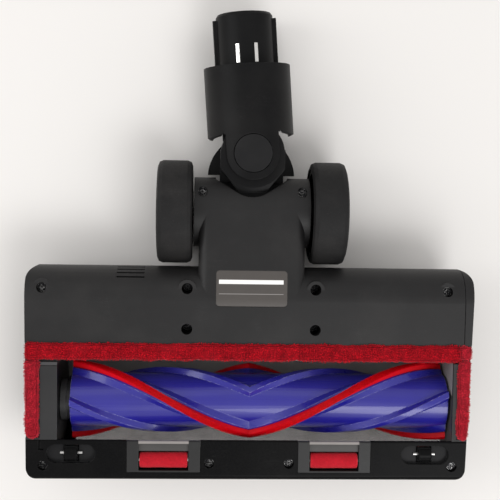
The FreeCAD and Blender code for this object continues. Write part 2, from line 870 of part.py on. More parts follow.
def coin_lock():
    """Quarter-turn lock with its coin slot."""
    face_x = head_half_width - lock_face_inset
    floor_x = head_half_width - lock_depth + lock_floor_gap
    disc = rod("x", floor_x, face_x, lock_y, lock_z, lock_r)
    stem = rod("x", cap_inner_x + lock_gap, floor_x, lock_y, lock_z, lock_stem_r)
    reach = lock_r - lock_slot_inset
    slot = box(face_x - lock_slot_depth, BIG, lock_y - reach, lock_y + reach,
               lock_z - lock_slot_width / 2.0, lock_z + lock_slot_width / 2.0)
    return fuse([disc, stem]).cut(slot)


def end_bearing():
    sleeve = rod("x", end_bearing_left_x, end_bearing_right_x, brush_y, brush_z, end_bearing_r)
    return sleeve.cut(rod("x", 0.0, BIG, brush_y, brush_z, brush_stub_r + shaft_clearance))


def polar(radius, angle):
    return FreeCAD.Vector(radius * math.cos(angle), radius * math.sin(angle), 0)


def sector_outline(centre, root_r, root_angle, crest_r, crest_angle):
    """Four-sided section between two radii, each with its own half angle."""
    crest_start = polar(crest_r, centre - crest_angle)
    crest_end = polar(crest_r, centre + crest_angle)
    root_start = polar(root_r, centre - root_angle)
    root_end = polar(root_r, centre + root_angle)
    crest = Part.Arc(crest_start, polar(crest_r, centre), crest_end)
    fall = Part.LineSegment(crest_end, root_end)
    root = Part.Arc(root_end, polar(root_r, centre), root_start)
    rise = Part.LineSegment(root_start, crest_start)
    return Part.Wire([edge.toShape() for edge in (crest, fall, root, rise)])


def ridge_outline(centre, base_width, top_width):
    """Section of one ridge standing on the core, about Z."""
    base = base_width / 2.0 / brush_core_r
    top = top_width / 2.0 / brush_ridge_r
    return sector_outline(centre, brush_core_r - ridge_root_depth, base, brush_ridge_r, top)


def bristle_outline(centre):
    half = bristle_width / 2.0 / bristle_r
    return sector_outline(centre, brush_ridge_r + bristle_gap, half, bristle_r, half)


def twisted(outline, length, left_handed):
    """Outline about Z, turned as it is swept up Z."""
    helix = Part.makeHelix(ridge_pitch, length, brush_core_r, 0, left_handed)
    return Part.Wire(helix).makePipeShell([outline], True, True)


def along_brush(shape, start_x):
    """Lays a shape built up Z along the brush axis."""
    shape.rotate(FreeCAD.Vector(0, 0, 0), FreeCAD.Vector(1, 1, 1), 120)
    shape.translate(FreeCAD.Vector(start_x, brush_y, brush_z))
    return shape


def vee_halves(outline):
    """Left and right halves of a ridge or strip that turns back both ways from its outline at the seam."""
    left_end = outline.copy()
    left_end.rotate(FreeCAD.Vector(0, 0, 0), AXES["z"], 360.0 * brush_left_x / ridge_pitch)
    left = along_brush(twisted(left_end, -brush_left_x, False), brush_left_x)
    right = along_brush(twisted(outline, brush_right_x, True), 0.0)
    return [left, right]


def brush_bar():
    """Hollow core with two bristle holders and two plain ribs that run as chevrons."""
    core = rod("x", brush_left_x, brush_right_x, brush_y, brush_z, brush_core_r)
    holder = (holder_base_width, holder_top_width)
    rib = (rib_base_width, rib_top_width)
    ridges = []
    for index, widths in enumerate([holder, rib, holder, rib]):
        ridges += vee_halves(ridge_outline(math.radians(ridge_seam_deg + 90.0 * index), *widths))
    stub_end_x = end_bearing_right_x - brush_stub_end_gap
    stub = rod("x", brush_right_x - past, stub_end_x, brush_y, brush_z, brush_stub_r)
    bore = rod("x", brush_left_x - past, brush_bore_end_x, brush_y, brush_z, brush_bore_r)
    return core.fuse(ridges + [stub], seam_tolerance).cut(bore)


def bristle_strip(seam_deg):
    """One red strip: both halves of the V joined at the middle of the bar."""
    left, right = vee_halves(bristle_outline(math.radians(seam_deg)))
    return left.fuse([right], seam_tolerance)


def drive_hub():
    """Hub that plugs into the bar, with its shaft and pulley in one."""
    flange_right = hub_left_x + hub_flange_width
    flange = rod("x", hub_left_x, flange_right, brush_y, brush_z, hub_flange_r)
    plug_end_x = brush_left_x + hub_plug_depth
    plug = rod("x", flange_right, plug_end_x, brush_y, brush_z, brush_bore_r - hub_plug_gap)
    shaft = rod("x", drive_right_x, hub_left_x, brush_y, brush_z, hub_shaft_r)
    pulley = rod("x", drive_left_x, drive_right_x, brush_y, brush_z, pulley_r)
    return fuse([flange, plug, shaft, pulley])


def motor_rotor():
    shaft = rod("x", drive_left_x - rotor_overhang, motor_left_x, motor_y, motor_z, motor_shaft_r)
    pinion = rod("x", drive_left_x, drive_right_x, motor_y, motor_z, pinion_r)
    return fuse([shaft, pinion])


def motor_can():
    right_x = motor_left_x + motor_length
    can = rod("x", motor_left_x, right_x, motor_y, motor_z, motor_r)
    nose = rod("x", motor_left_x - motor_nose_length, motor_left_x, motor_y, motor_z, motor_nose_r)
    tail = rod("x", right_x, right_x + motor_tail_length, motor_y, motor_z, motor_tail_r)
    bore = rod("x", -BIG, motor_left_x + motor_gap, motor_y, motor_z, motor_shaft_r + shaft_clearance)
    return fuse([can, nose, tail]).cut(bore)


def drive_belt():
    outer = belt_gap + belt_thickness
    wheels = [(motor_y, motor_z, pinion_r), (brush_y, brush_z, pulley_r)]
    left = drive_left_x + belt_side_inset
    right = drive_right_x - belt_side_inset
    hole = prism("x", grown(wheels, belt_gap), left - past, right + past)
    return prism("x", grown(wheels, outer), left, right).cut(hole)


def board_post_places():
    across = (board_left_x + board_post_inset, board_right_x - board_post_inset)
    along = (board_front_y + board_post_inset, board_rear_y - board_post_inset)
    return [(x, y) for x in across for y in along]


def control_board():
    """Board that lies on the posts of the top shell, with its plug socket and capacitor."""
    board = box(board_left_x, board_right_x, board_front_y, board_rear_y, split_z, split_z + board_thickness)
    left = board_left_x + board_margin
    front = board_front_y + board_margin
    socket = box(left, left + socket_length, front, front + socket_width, split_z, split_z + socket_height)
    middle_x = (board_left_x + board_right_x) / 2.0
    capacitor = rod("z", split_z, split_z + capacitor_height, middle_x,
                    board_rear_y - board_margin - capacitor_r, capacitor_r)
    return fuse([board, socket, capacitor])


def soft_bar(x0, x1, y0, y1):
    """Plush strip that keeps inside the head's plan, with its pile rounded over at the edges."""
    strip = box(x0, x1, y0, y1, plush_floor_z, plush_top_z)
    strip = strip.common(prism("z", head_plan(plush_side_inset), 0.0, plush_top_z + past)).Solids[0]
    top_edges = [edge for edge in strip.Edges if edge.BoundBox.ZMin > plush_top_z - seam_tolerance]
    return strip.makeFillet(plush_edge_round, top_edges)


def rear_plush():
    return soft_bar(rear_plush_left_x, cap_plush_left_x - plush_gap, rear_plush_front_y, rear_plush_back_y)


def left_plush():
    return soft_bar(rear_plush_left_x, rear_plush_left_x + side_plush_width, side_plush_front_y,
                    rear_plush_front_y - plush_gap)


def cap_plush():
    right = cap_plush_left_x + side_plush_width
    short_front_y = cap_plush_break_y + cap_plush_break
    long_strip = soft_bar(cap_plush_left_x, right, side_plush_front_y, cap_plush_break_y)
    short_strip = soft_bar(cap_inner_x + plush_gap, right, short_front_y, rear_plush_back_y)
    return Part.makeCompound([long_strip, short_strip])


def rating_plate():
    return rating_prism(rating_recess, rating_thickness)


def wheel_hub(side):
    """Dished wheel centre: boss, web, rim and a slightly domed outer face with a recess for the axle head."""
    inner = wheel_inner_x + wheel_hub_inset
    bore = wheel_axle_r + shaft_clearance
    rim_inner_r = wheel_rim_r - wheel_rim_thickness
    web_x = inner + wheel_dish_depth
    crown_x = wheel_face_x + wheel_face_rise
    profile = [
        (inner, bore),
        (inner, wheel_boss_r),
        (web_x, wheel_boss_r),
        (web_x, rim_inner_r),
        (inner, rim_inner_r),
        (inner, wheel_rim_r),
        (wheel_face_x, wheel_rim_r),
        (crown_x, wheel_rim_r - wheel_face_shoulder),
        (crown_x, wheel_recess_r),
        (wheel_recess_x, wheel_recess_r),
        (wheel_recess_x, bore),
    ]
    return spun([(side * x, radius) for x, radius in profile], axle_y, axle_z)


def wheel_tyre(side):
    """Tread ring with both edges rounded."""
    inner = wheel_inner_x
    outer = wheel_inner_x + wheel_width
    edge = tyre_edge_round
    small = edge * (1.0 - math.sqrt(0.5))
    profile = [
        (inner, wheel_rim_r),
        (inner, wheel_r - edge),
        (inner + small, wheel_r - small),
        (inner + edge, wheel_r),
        (outer - edge, wheel_r),
        (outer - small, wheel_r - small),
        (outer, wheel_r - edge),
        (outer, wheel_rim_r),
    ]
    return spun([(side * x, radius) for x, radius in profile], axle_y, axle_z)


def wheel_axle(side):
    root_x = trunnion_end_x + axle_root_gap
    head_x = wheel_recess_x + wheel_axle_gap
    end_x = head_x + wheel_axle_head_length
    pin = rod("x", side * root_x, side * head_x, axle_y, axle_z, wheel_axle_r)
    head_disc = rod("x", side * head_x, side * end_x, axle_y, axle_z, wheel_axle_head_r)
    return fuse([pin, head_disc])


def knuckle():
    """Both shells of the knuckle: hollow barrel, yaw boss, octagonal plate and far-side hood."""
    barrel = rod("x", -barrel_half_width, barrel_half_width, axle_y, axle_z, barrel_r)
    boss = rod("z", neck_z - boss_half_height, neck_z + boss_half_height, 0.0, yaw_y, boss_r)
    plate_top = neck_z + boss_half_height
    plate = prism("z", [
        (plate_half_width, plate_back_y, 0.0),
        (-plate_half_width, plate_back_y, 0.0),
        (-plate_half_width, plate_corner_y, 0.0),
        (-plate_foot_half_width, plate_foot_y, 0.0),
        (plate_foot_half_width, plate_foot_y, 0.0),
        (plate_half_width, plate_corner_y, 0.0),
    ], neck_z, plate_top)
    slope_r = plate_pad_r + boss_half_height / math.tan(math.radians(plate_slope_deg))
    plate = plate.common(cone("z", neck_z, plate_top, 0.0, yaw_y, slope_r, plate_pad_r))
    link = box(-plate_half_width, plate_half_width, link_start_y, yaw_y, link_low_z, axle_z)
    hood = rod("z", neck_z - boss_half_height, hood_top_z, 0.0, hood_y, hood_r)
    hood = hood.common(box(-BIG, BIG, hood_edge_y, BIG, -BIG, BIG))
    solid = fuse([barrel, boss, plate, link, hood])
    inside = rod("x", barrel_wall - barrel_half_width, barrel_half_width - barrel_wall, axle_y, axle_z,
                 barrel_r - barrel_wall)
    duct = rod("y", axle_y, BIG, 0.0, neck_z, knuckle_duct_r)
    mouth = duct_prism(duct_wall, -BIG, axle_y)
    solid = solid.cut(inside).cut(duct).cut(mouth)
    trunnion_root_x = barrel_half_width - barrel_wall / 2.0
    trunnions = [rod("x", side * trunnion_root_x, side * trunnion_end_x, axle_y, axle_z, trunnion_r)
                 for side in (-1, 1)]
    solid = fuse([solid] + trunnions)
    socket_floor = boss_half_height - pivot_pin_length + ear_gap
    for side in (-1, 1):
        solid = solid.cut(rod("z", neck_z + side * socket_floor, neck_z + side * BIG, 0.0, yaw_y,
                              pivot_pin_r + shaft_clearance))
    return solid


def knuckle_half(sole_side):
    low = axle_z if sole_side else -BIG
    high = BIG if sole_side else axle_z
    return knuckle_solid.common(box(-BIG, BIG, -BIG, BIG, low, high))


def turned_neck(shape):
    shape.rotate(FreeCAD.Vector(0, yaw_y, 0), AXES["z"], neck_yaw_deg)
    return shape


def collar():
    """Collar with an ear above and below that straddle the yaw boss."""
    ring_start_y = yaw_y + collar_start
    tube = rod("y", yaw_y - ear_half_width, yaw_y + collar_end, 0.0, neck_z, collar_r)
    bore = rod("y", ring_start_y, BIG, 0.0, neck_z, collar_bore_r)
    gap = boss_half_height + ear_gap
    slope = math.tan(math.radians(collar_start_slope_deg))
    ring_zone = prism("x", [
        (ring_start_y, -BIG, 0.0),
        (BIG, -BIG, 0.0),
        (BIG, BIG, 0.0),
        (ring_start_y + (BIG - neck_z) * slope, BIG, 0.0),
        (ring_start_y, neck_z, 0.0),
    ], -BIG, BIG)
    corner_x = collar_r - collar_corner_round
    corner_r = collar_corner_round + past
    ring_zone = ring_zone.common(prism("z", [
        (collar_r + past, BIG, 0.0),
        (-collar_r - past, BIG, 0.0),
        (-corner_x, ring_start_y + corner_r, corner_r),
        (corner_x, ring_start_y + corner_r, corner_r),
    ], -BIG, BIG))
    ear_zone = prism("z", [
        (0.0, ring_start_y + past, ear_half_width),
        (0.0, yaw_y, ear_half_width),
    ], -BIG, BIG)
    between = box(-BIG, BIG, -BIG, ring_start_y, neck_z - gap, neck_z + gap)
    body = tube.common(ring_zone.fuse(ear_zone)).cut(bore).cut(between)
    body = body.cut(rod("z", neck_z - gap, neck_z + gap, 0.0, yaw_y, collar_clear_r))
    body = body.cut(rod("z", neck_z - gap, hood_top_z + ear_gap, 0.0, yaw_y, hood_clear_r))
    cap_floor = pivot_cap_top - pivot_cap_thickness - pivot_cap_floor_gap
    for side in (-1, 1):
        body = body.cut(rod("z", neck_z + side * cap_floor, neck_z + side * BIG, 0.0, yaw_y,
                            pivot_cap_r + pivot_cap_gap))
    body = body.cut(rod("z", -BIG, BIG, 0.0, yaw_y, pivot_pin_r + shaft_clearance))
    return turned_neck(body)


def pivot_cap(side):
    """Flat round cap with the pivot pin behind it."""
    top = neck_z + side * pivot_cap_top
    under = neck_z + side * (pivot_cap_top - pivot_cap_thickness)
    tip = neck_z + side * (boss_half_height - pivot_pin_length + 2.0 * ear_gap)
    disc = rod("z", under, top, 0.0, yaw_y, pivot_cap_r)
    pin = rod("z", tip, under, 0.0, yaw_y, pivot_pin_r)
    return turned_neck(fuse([disc, pin]))


def contact_slot(side, gap, inner_r, outer_r):
    """Slot in the spigot's wall for one contact, or the contact itself with no gap."""
    centre = side * contact_spacing / 2.0
    half = contact_width / 2.0 + gap
    start_y = yaw_y + contact_start
    slot = box(centre - half, centre + half, start_y - gap, start_y + contact_length + gap, neck_z, BIG)
    ring = rod("y", yaw_y, BIG, 0.0, neck_z, outer_r).cut(rod("y", yaw_y, BIG, 0.0, neck_z, inner_r))
    return slot.common(ring)


def spigot():
    """Tube that the wand slides over, with its side ribs and contact slots."""
    start_y = yaw_y + spigot_start
    end_y = yaw_y + spigot_end
    tip_y = end_y - spigot_tip_length
    tube = rod("y", start_y, tip_y, 0.0, neck_z, spigot_r)
    tip = cone("y", tip_y, end_y, 0.0, neck_z, spigot_r, spigot_r - spigot_tip_narrowing)
    flange = rod("y", start_y, start_y + spigot_flange_width, 0.0, neck_z, collar_bore_r - spigot_flange_gap)
    half = spigot_rib_width / 2.0
    ribs = box(-spigot_rib_r, spigot_rib_r, start_y, yaw_y + spigot_rib_end, neck_z - half, neck_z + half)
    ribs = ribs.common(rod("y", start_y, end_y, 0.0, neck_z, spigot_rib_r))
    body = fuse([tube, tip, flange, ribs])
    body = body.cut(rod("y", start_y - past, end_y + past, 0.0, neck_z, spigot_bore_r))
    for side in (-1, 1):
        body = body.cut(contact_slot(side, contact_gap, spigot_r - contact_slot_depth, spigot_r + past))
    return turned_neck(body)


def contact_springs():
    inner_r = spigot_r - contact_slot_depth
    strips = [contact_slot(side, 0.0, inner_r, spigot_r - contact_recess) for side in (-1, 1)]
    return turned_neck(Part.makeCompound(strips))


def screw_group(places, surface_z):
    """Screws sunk below the surface height that surface_z gives."""
    return Part.makeCompound([screw(x, y, surface_z(y) - counterbore_depth) for x, y in places])


def pins(half_length, x, y, z, radius):
    return Part.makeCompound([
        rod("x", side * x - half_length, side * x + half_length, y, z, radius) for side in (-1, 1)])


def roller_pins():
    return pins(roller_length / 2.0 + roller_pin_overhang, roller_x, roller_y, roller_z, roller_pin_r)


def glide_pins():
    return pins(glide_width / 2.0 + glide_pin_overhang, glide_x, glide_y, glide_z, glide_pin_r)


head = head_blank()
shells = housing()
knuckle_solid = knuckle()

NODES = {
    "bottom_shell": bottom_shell(),
    "top_shell": top_shell(),
    "brush_window": brush_window(),
    "front_strip": front_strip(),
    "drive_cover": drive_cover(),
    "air_duct": air_duct(),
    "motor_can": motor_can(),
    "motor_rotor": motor_rotor(),
    "drive_belt": drive_belt(),
    "drive_hub": drive_hub(),
    "control_board": control_board(),
    "brush_bar": brush_bar(),
    "bristle_strip_a": bristle_strip(ridge_seam_deg),
    "bristle_strip_b": bristle_strip(ridge_seam_deg + 180.0),
    "end_cap": end_cap(),
    "end_bearing": end_bearing(),
    "coin_lock": coin_lock(),
    "rear_plush": rear_plush(),
    "left_plush": left_plush(),
    "cap_plush": cap_plush(),
    "rating_plate": rating_plate(),
    "roller_bracket_left": roller_bracket(-1),
    "roller_bracket_right": roller_bracket(1),
    "roller_left": roller(-1),
    "roller_right": roller(1),
    "roller_pins": roller_pins(),
    "glide_wheel_left": glide_wheel(-1),
    "glide_wheel_right": glide_wheel(1),
    "glide_pins": glide_pins(),
    "wheel_hub_left": wheel_hub(-1),
    "wheel_hub_right": wheel_hub(1),
    "wheel_tyre_left": wheel_tyre(-1),
    "wheel_tyre_right": wheel_tyre(1),
    "wheel_axle_left": wheel_axle(-1),
    "wheel_axle_right": wheel_axle(1),
    "knuckle_plate_shell": knuckle_half(True),
    "knuckle_hood_shell": knuckle_half(False),
    "collar": collar(),
    "pivot_cap_upper": pivot_cap(1),
    "pivot_cap_lower": pivot_cap(-1),
    "spigot": spigot(),
    "contact_springs": contact_springs(),
    "rear_corner_screws": screw_group(corner_screw_places(), rear_surface_z),
    "deep_screws": screw_group(deep_screw_places(), lambda y: deep_screw_head_z + counterbore_depth),
    "strip_screws": screw_group(strip_screw_places(), lambda y: sole_z),
    "arm_screws": screw_group(arm_screw_places(), arm_surface_z),
}

os.makedirs("parts", exist_ok=True)
for name, shape in NODES.items():
    shape.exportStep("parts/" + name + ".step")
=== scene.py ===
"""Carpet brush head of a cordless cleaner, shown sole up on a pale table.

The rigid parts come from the packed model. This file gives them their finishes and builds the soft and fine
pieces: the plush seals, the bristle strips, the flocked rollers and the cross-recess screws.
"""

import math
import random

import bmesh
import bpy
from bpy.props import FloatProperty, FloatVectorProperty, IntProperty, PointerProperty
from mathutils import Matrix, Vector, noise


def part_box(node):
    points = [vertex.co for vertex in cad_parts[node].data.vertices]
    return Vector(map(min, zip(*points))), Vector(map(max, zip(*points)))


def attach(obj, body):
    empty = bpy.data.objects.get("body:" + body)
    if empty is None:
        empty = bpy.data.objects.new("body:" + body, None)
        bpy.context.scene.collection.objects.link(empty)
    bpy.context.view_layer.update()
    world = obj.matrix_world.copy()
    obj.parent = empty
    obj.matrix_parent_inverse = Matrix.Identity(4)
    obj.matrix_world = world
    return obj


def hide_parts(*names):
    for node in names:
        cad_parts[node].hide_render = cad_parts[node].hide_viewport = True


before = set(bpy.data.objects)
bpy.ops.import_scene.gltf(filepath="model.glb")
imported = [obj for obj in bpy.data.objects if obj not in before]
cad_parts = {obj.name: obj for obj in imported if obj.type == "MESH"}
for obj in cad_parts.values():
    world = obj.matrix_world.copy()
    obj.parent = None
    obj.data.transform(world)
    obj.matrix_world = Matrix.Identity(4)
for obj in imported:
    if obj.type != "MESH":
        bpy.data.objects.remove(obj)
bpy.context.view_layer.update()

bl_info = {
    "name": "Carpet brush",
    "version": (1, 0, 0),
    "blender": (4, 5, 0),
    "location": "View3D > Sidebar > Carpet brush",
    "description": "Finishes, pile, bristles, screws and stage for a cleaner's carpet brush",
    "category": "Object",
}

MM = 0.001
SHELL_NODES = ("bottom_shell", "top_shell", "end_cap")
NECK_NODES = ("knuckle_plate_shell", "knuckle_hood_shell", "collar", "spigot")
PIVOT_NODES = ("pivot_cap_upper", "pivot_cap_lower")
GLOSS_NODES = ("front_strip", "glide_wheel_left", "glide_wheel_right",
               "wheel_hub_left", "wheel_hub_right")
COVER_NODES = ("drive_cover", "coin_lock")
BRACKET_NODES = ("roller_bracket_left", "roller_bracket_right")
TYRE_NODES = ("wheel_tyre_left", "wheel_tyre_right")
STEEL_NODES = ("motor_can", "motor_rotor", "roller_pins", "glide_pins")
AXLE_NODES = ("wheel_axle_left", "wheel_axle_right")
BRUSH_Y = -91.0 * MM
BRUSH_Z = 35.0 * MM
STRIP_PITCH = 236.0 * MM
STRIP_SEAM_DEG = 150.0

# Plan of the head's ends, in metres, which the plush follows
HEAD_END = 0.1260
TAPER_START_Y = -0.020
TAPER_DEPTH = 0.106
RIGHT_TAPER = 0.0027
LEFT_TAPER = 0.0010
END_PAD_X = 0.12
LEFT_INNER_X = -0.121
FRONT_CORNER = 0.003
REAR_CORNER = 0.0026
REAR_CORNER_X = 0.1235
REAR_PLUSH_Y = -0.06
DEEP_PAD = 0.02

# Heights and split of the plush, in metres, and how far it ruffles
RUFFLE_Z = 0.0537
PILE_Z = 0.0549
BACKING_EDGE = 0.0009
RUFFLE_RISE = 0.0015
RUFFLE_DEPTHS = (0.00035, 0.00040, 0.00030)
FINE_DEPTH = 0.0001
CAP_SPLIT_Y = -0.0626
CAP_SPLIT_GAP = 0.0014

# Zones with a tone of their own, or with painted light and shade (chamber walls, the black below the sole and
# at the window's end, the glide wheels' hollows, the brackets' back edges), as corners in millimetres
CHAMBER_X = (-107.9, 121.2)
CHAMBER_Z = (-10.0, 53.3)
CHAMBER_FRONT_Y = -200.0
CHAMBER_MIDDLE_Y = -84.0
COVER_SEAM = ((-125.0, -68.3, 53.0), (-107.9, -67.8, 56.0))
COVER_LEDGE = ((-125.0, -67.9, 54.0), (-107.9, -64.9, 56.0))
UNDER_SOLE_PAINTED_SHADE = ((-130.0, -130.0, 0.0), (130.0, 0.0, 53.4))
PAINTED_SHADE_AT_WINDOW_TIP = ((-110.0, -135.0, -1.0), (-101.6, -90.0, 60.0))
LABEL_BAR = ((-18.4, -21.3, 0.0), (17.8, -19.0, 60.0))
LABEL_RULE = ((-18.4, -27.0, 0.0), (17.8, -26.7, 60.0))
POCKET_HALF = (14.2, 5.6)
POCKET_Z = (30.0, 54.4)
ROLLER_X = (-48.3, 48.3)
BRACKET_STEP = (14.0, (-122.0, 53.2), (-111.9, 54.3))
# Painted highlight: a pale band along the back edge of each roller bracket
BRACKET_EDGE_HIGHLIGHT = (14.1, (-111.95, 50.0), (-110.0, 58.0))

# Near-black of the cover's seam, also used as painted shade at the window's left end
SEAM_AND_PAINTED_SHADOW_BLACK = (0.002, 0.002, 0.002)
# Painted shade: near-black for the covers' walls below the sole
PAINTED_SHADE_BLACK = (0.003, 0.003, 0.003)
STEP_GREY = (0.060, 0.057, 0.056)
# Painted highlight on the brackets' back edges
BACK_HIGHLIGHT_GREY = (0.26, 0.24, 0.23)
DUST_GREY = (0.30, 0.28, 0.26)
RUBBED_STEEL = (0.75, 0.74, 0.73)
# Tip gains of the rear and side seals; the side seals' brighter tips are painted light, a lit copy of the
# same red
FLAT_PILE = (0.95, 0.2, 0.35)
SIDE_PILE_PAINTED_LIGHT = (1.15, 1.0, 1.0)

CAMERA_PLACE = (-0.0263, 0.0364, 0.6105)
CAMERA_TURNS = (("Z", -0.76), ("Y", 2.56), ("X", 3.96))


def colour(label, text, value):
    return FloatVectorProperty(name=label, description=text, subtype="COLOR", size=3,
                               min=0.0, max=1.0, default=value)


def length(label, text, value):
    return FloatProperty(name=label, description=text, unit="LENGTH", min=0.0, default=value, precision=5)


def factor(label, text, value):
    return FloatProperty(name=label, description=text, subtype="FACTOR", min=0.0, max=1.0, default=value)


def seed(value):
    text = "Start of the random numbers that ruffle this piece"
    return IntProperty(name="Seed", description=text, min=0, default=value)


def lamp_power(label, text, value):
    return FloatProperty(name=label, description=text, unit="POWER", min=0.0, default=value)


class MouldingSettings(bpy.types.PropertyGroup):
    """Moulded plastics and rubber"""

    shell: colour("Shell", "Satin black of the head", (0.0108, 0.0104, 0.0108))
    neck: colour("Neck", "Deeper black of the knuckle and the neck", (0.0060, 0.0060, 0.0064))
    pivot: colour("Pivot caps", "Slightly paler black of the pivot caps", (0.0125, 0.0125, 0.0132))
    liner: colour("Liner", "Grey of the brush chamber's walls", (0.115, 0.110, 0.106))
    gloss: colour("Front strip", "Smoother black of the strip and the small wheels", (0.0042, 0.0042, 0.0045))
    cover: colour("Covers", "Dark grey of the drive cover", (0.022, 0.022, 0.023))
    hub: colour("Drive hub", "Dark grey of the hub that turns the bar", (0.030, 0.030, 0.031))
    # Painted light: this paler black stands in for the light caught in the glide wheels' dished hollows
    glide_hollow_painted_light: colour("Pockets", "Paler black inside the glide wheels' pockets", (0.020, 0.020, 0.021))
    bracket: colour("Brackets", "Charcoal of the roller brackets", (0.0125, 0.0125, 0.0128))
    tyre: colour("Tyre", "Black of the rear tyres", (0.0112, 0.0109, 0.0112))
    duct: colour("Duct", "Grey of the inner air duct", (0.12, 0.12, 0.12))
    window: colour("Window", "Smoke tint of the clear brush window", (0.12, 0.082, 0.086))
    window_cover: factor("Window cover", "Share of the light that the smoke tint keeps back", 0.50)
    label: colour("Label", "Grey-brown of the bare rating label", (0.070, 0.062, 0.057))
    edge_radius: length("Edge radius", "Rounding that catches light on the moulded edges", 0.0005)
    grain: factor("Grain", "Depth of the moulded grain", 0.25)
    wear: factor("Wear", "How far handling has paled the edges", 0.35)


class BarSettings(bpy.types.PropertyGroup):
    """Blue brush bar and its red bristle strips"""

    blue: colour("Blue", "Deep blue of the brush bar", (0.015, 0.012, 0.26))
    bristle: colour("Bristle", "Red of the nylon filaments", (0.95, 0.0, 0.010))
    filament: length("Filament", "Thickness of one filament where it leaves the strip", 0.0005)
    pitch: length("Pitch", "Distance between rows of filaments along the bar", 0.00045)
    across: IntProperty(name="Across", description="Filaments across one strip", min=3, max=14, default=9)
    seed: seed(11)


class PlushSettings(bpy.types.PropertyGroup):
    """Plush seals round the brush opening"""

    tip: colour("Tip", "Red of the pile's tips", (0.98, 0.026, 0.062))
    # Painted shade: the root colour darkens the pile where shade falls among the fibres
    root: colour("Root", "Dark red deep in the pile", (0.12, 0.0, 0.004))
    tuft: length("Tuft", "Width of one tuft", 0.00072)
    pile: length("Pile", "Height of the pile above its backing", 0.0014)
    draw_in: length("Draw-in", "How far the seals' inner sides stand back from the opening", 0.0009)
    seed: seed(5)


class RollerSettings(bpy.types.PropertyGroup):
    """Flocked front rollers"""

    red: colour("Flock", "Red of the flock", (0.72, 0.010, 0.028))
    flock: length("Flock height", "Length of the flock fibres", 0.0003)
    tuft: length("Tuft", "Width of one flock tuft", 0.0005)
    seed: seed(23)


class ScrewSettings(bpy.types.PropertyGroup):
    """Cross-recess screws"""

    head_radius: length("Head radius", "Half the width of a screw head", 0.0024)
    head_height: length("Head height", "Height of a screw head", 0.0017)
    slot_width: length("Slot width", "Width of the cross recess's arms", 0.0009)
    slot_depth: length("Slot depth", "Depth of the cross recess", 0.0008)
    steel: colour("Steel", "Blackened steel of the screws", (0.010, 0.010, 0.011))


class StageSettings(bpy.types.PropertyGroup):
    """Table, lamps and camera"""

    table: colour("Table", "Pale colour of the table", (0.825, 0.805, 0.785))
    world: factor("Surroundings", "Level of the room's even light", 0.74)
    key: lamp_power("Key lamp", "Strength of the front softbox", 8.5)
    rear: lamp_power("Rear lamp", "Strength of the rear softbox", 0.8)
    side: lamp_power("Side lamp", "Strength of the left softbox", 3.4)


# Shader groups


def node(tree, kind, inputs=None, **fields):
    """A new node with its fields set, and each input linked or given its value."""
    made = tree.nodes.new(kind)
    for name, value in fields.items():
        setattr(made, name, value)
    for name, value in (inputs or {}).items():
        socket = made.inputs[name]
        if isinstance(value, bpy.types.NodeSocket):
            tree.links.new(value, socket)
        else:
            socket.default_value = value
    return made


def group(name, inputs, outputs):
    tree = bpy.data.node_groups.new(name, "ShaderNodeTree")
    for label, kind, value in inputs:
        tree.interface.new_socket(label, in_out="INPUT", socket_type=kind).default_value = value
    for label, kind in outputs:
        tree.interface.new_socket(label, in_out="OUTPUT", socket_type=kind)
    return tree, tree.nodes.new("NodeGroupInput").outputs, tree.nodes.new("NodeGroupOutput").inputs


def math_node(tree, operation, first, second=0.0, clamp=False):
    made = node(tree, "ShaderNodeMath", {0: first, 1: second}, operation=operation, use_clamp=clamp)
    return made.outputs[0]


def opaque(tint):
    return tint if isinstance(tint, bpy.types.NodeSocket) else (*tint[:3], 1.0)


def mixed(tree, amount, first, second):
    inputs = {0: amount, 6: opaque(first), 7: opaque(second)}
    return node(tree, "ShaderNodeMix", inputs, data_type="RGBA").outputs[2]


def object_place(tree):
    return tree.nodes.new("ShaderNodeTexCoord").outputs["Object"]


def stretched_place(tree, scale, turn=(0.0, 0.0, 0.0)):
    made = node(tree, "ShaderNodeMapping", {"Vector": object_place(tree), "Rotation": turn, "Scale": scale})
    return made.outputs["Vector"]


def texture(tree, scale, detail=2.0, roughness=0.5, place=None):
    found = place or object_place(tree)
    return node(tree, "ShaderNodeTexNoise",
                {"Vector": found, "Scale": scale, "Detail": detail, "Roughness": roughness}).outputs["Fac"]


def rounded_normal(tree, radius):
    return node(tree, "ShaderNodeBevel", {"Radius": radius}, samples=6).outputs["Normal"]


def span(tree, value, low, high, out_low=0.0, out_high=1.0):
    return node(tree, "ShaderNodeMapRange", {"Value": value, "From Min": low, "From Max": high,
                                             "To Min": out_low, "To Max": out_high}).outputs["Result"]


def moulded_grain_group():
    """Fine spark-eroded grain on a softly rounded edge."""
    tree, given, put = group(
        "Moulded grain",
        [("Scale", "NodeSocketFloat", 2200.0), ("Depth", "NodeSocketFloat", 0.2),
         ("Edge radius", "NodeSocketFloat", 0.0005)],
        [("Normal", "NodeSocketVector"), ("Height", "NodeSocketFloat")])
    rounded = rounded_normal(tree, given["Edge radius"])
    coarse = node(tree, "ShaderNodeTexNoise",
                  {"Vector": object_place(tree), "Scale": given["Scale"], "Detail": 3.0})
    bump = node(tree, "ShaderNodeBump", {"Strength": given["Depth"], "Distance": 0.00008,
                                         "Height": coarse.outputs["Fac"], "Normal": rounded})
    tree.links.new(bump.outputs["Normal"], put["Normal"])
    tree.links.new(coarse.outputs["Fac"], put["Height"])
    return tree


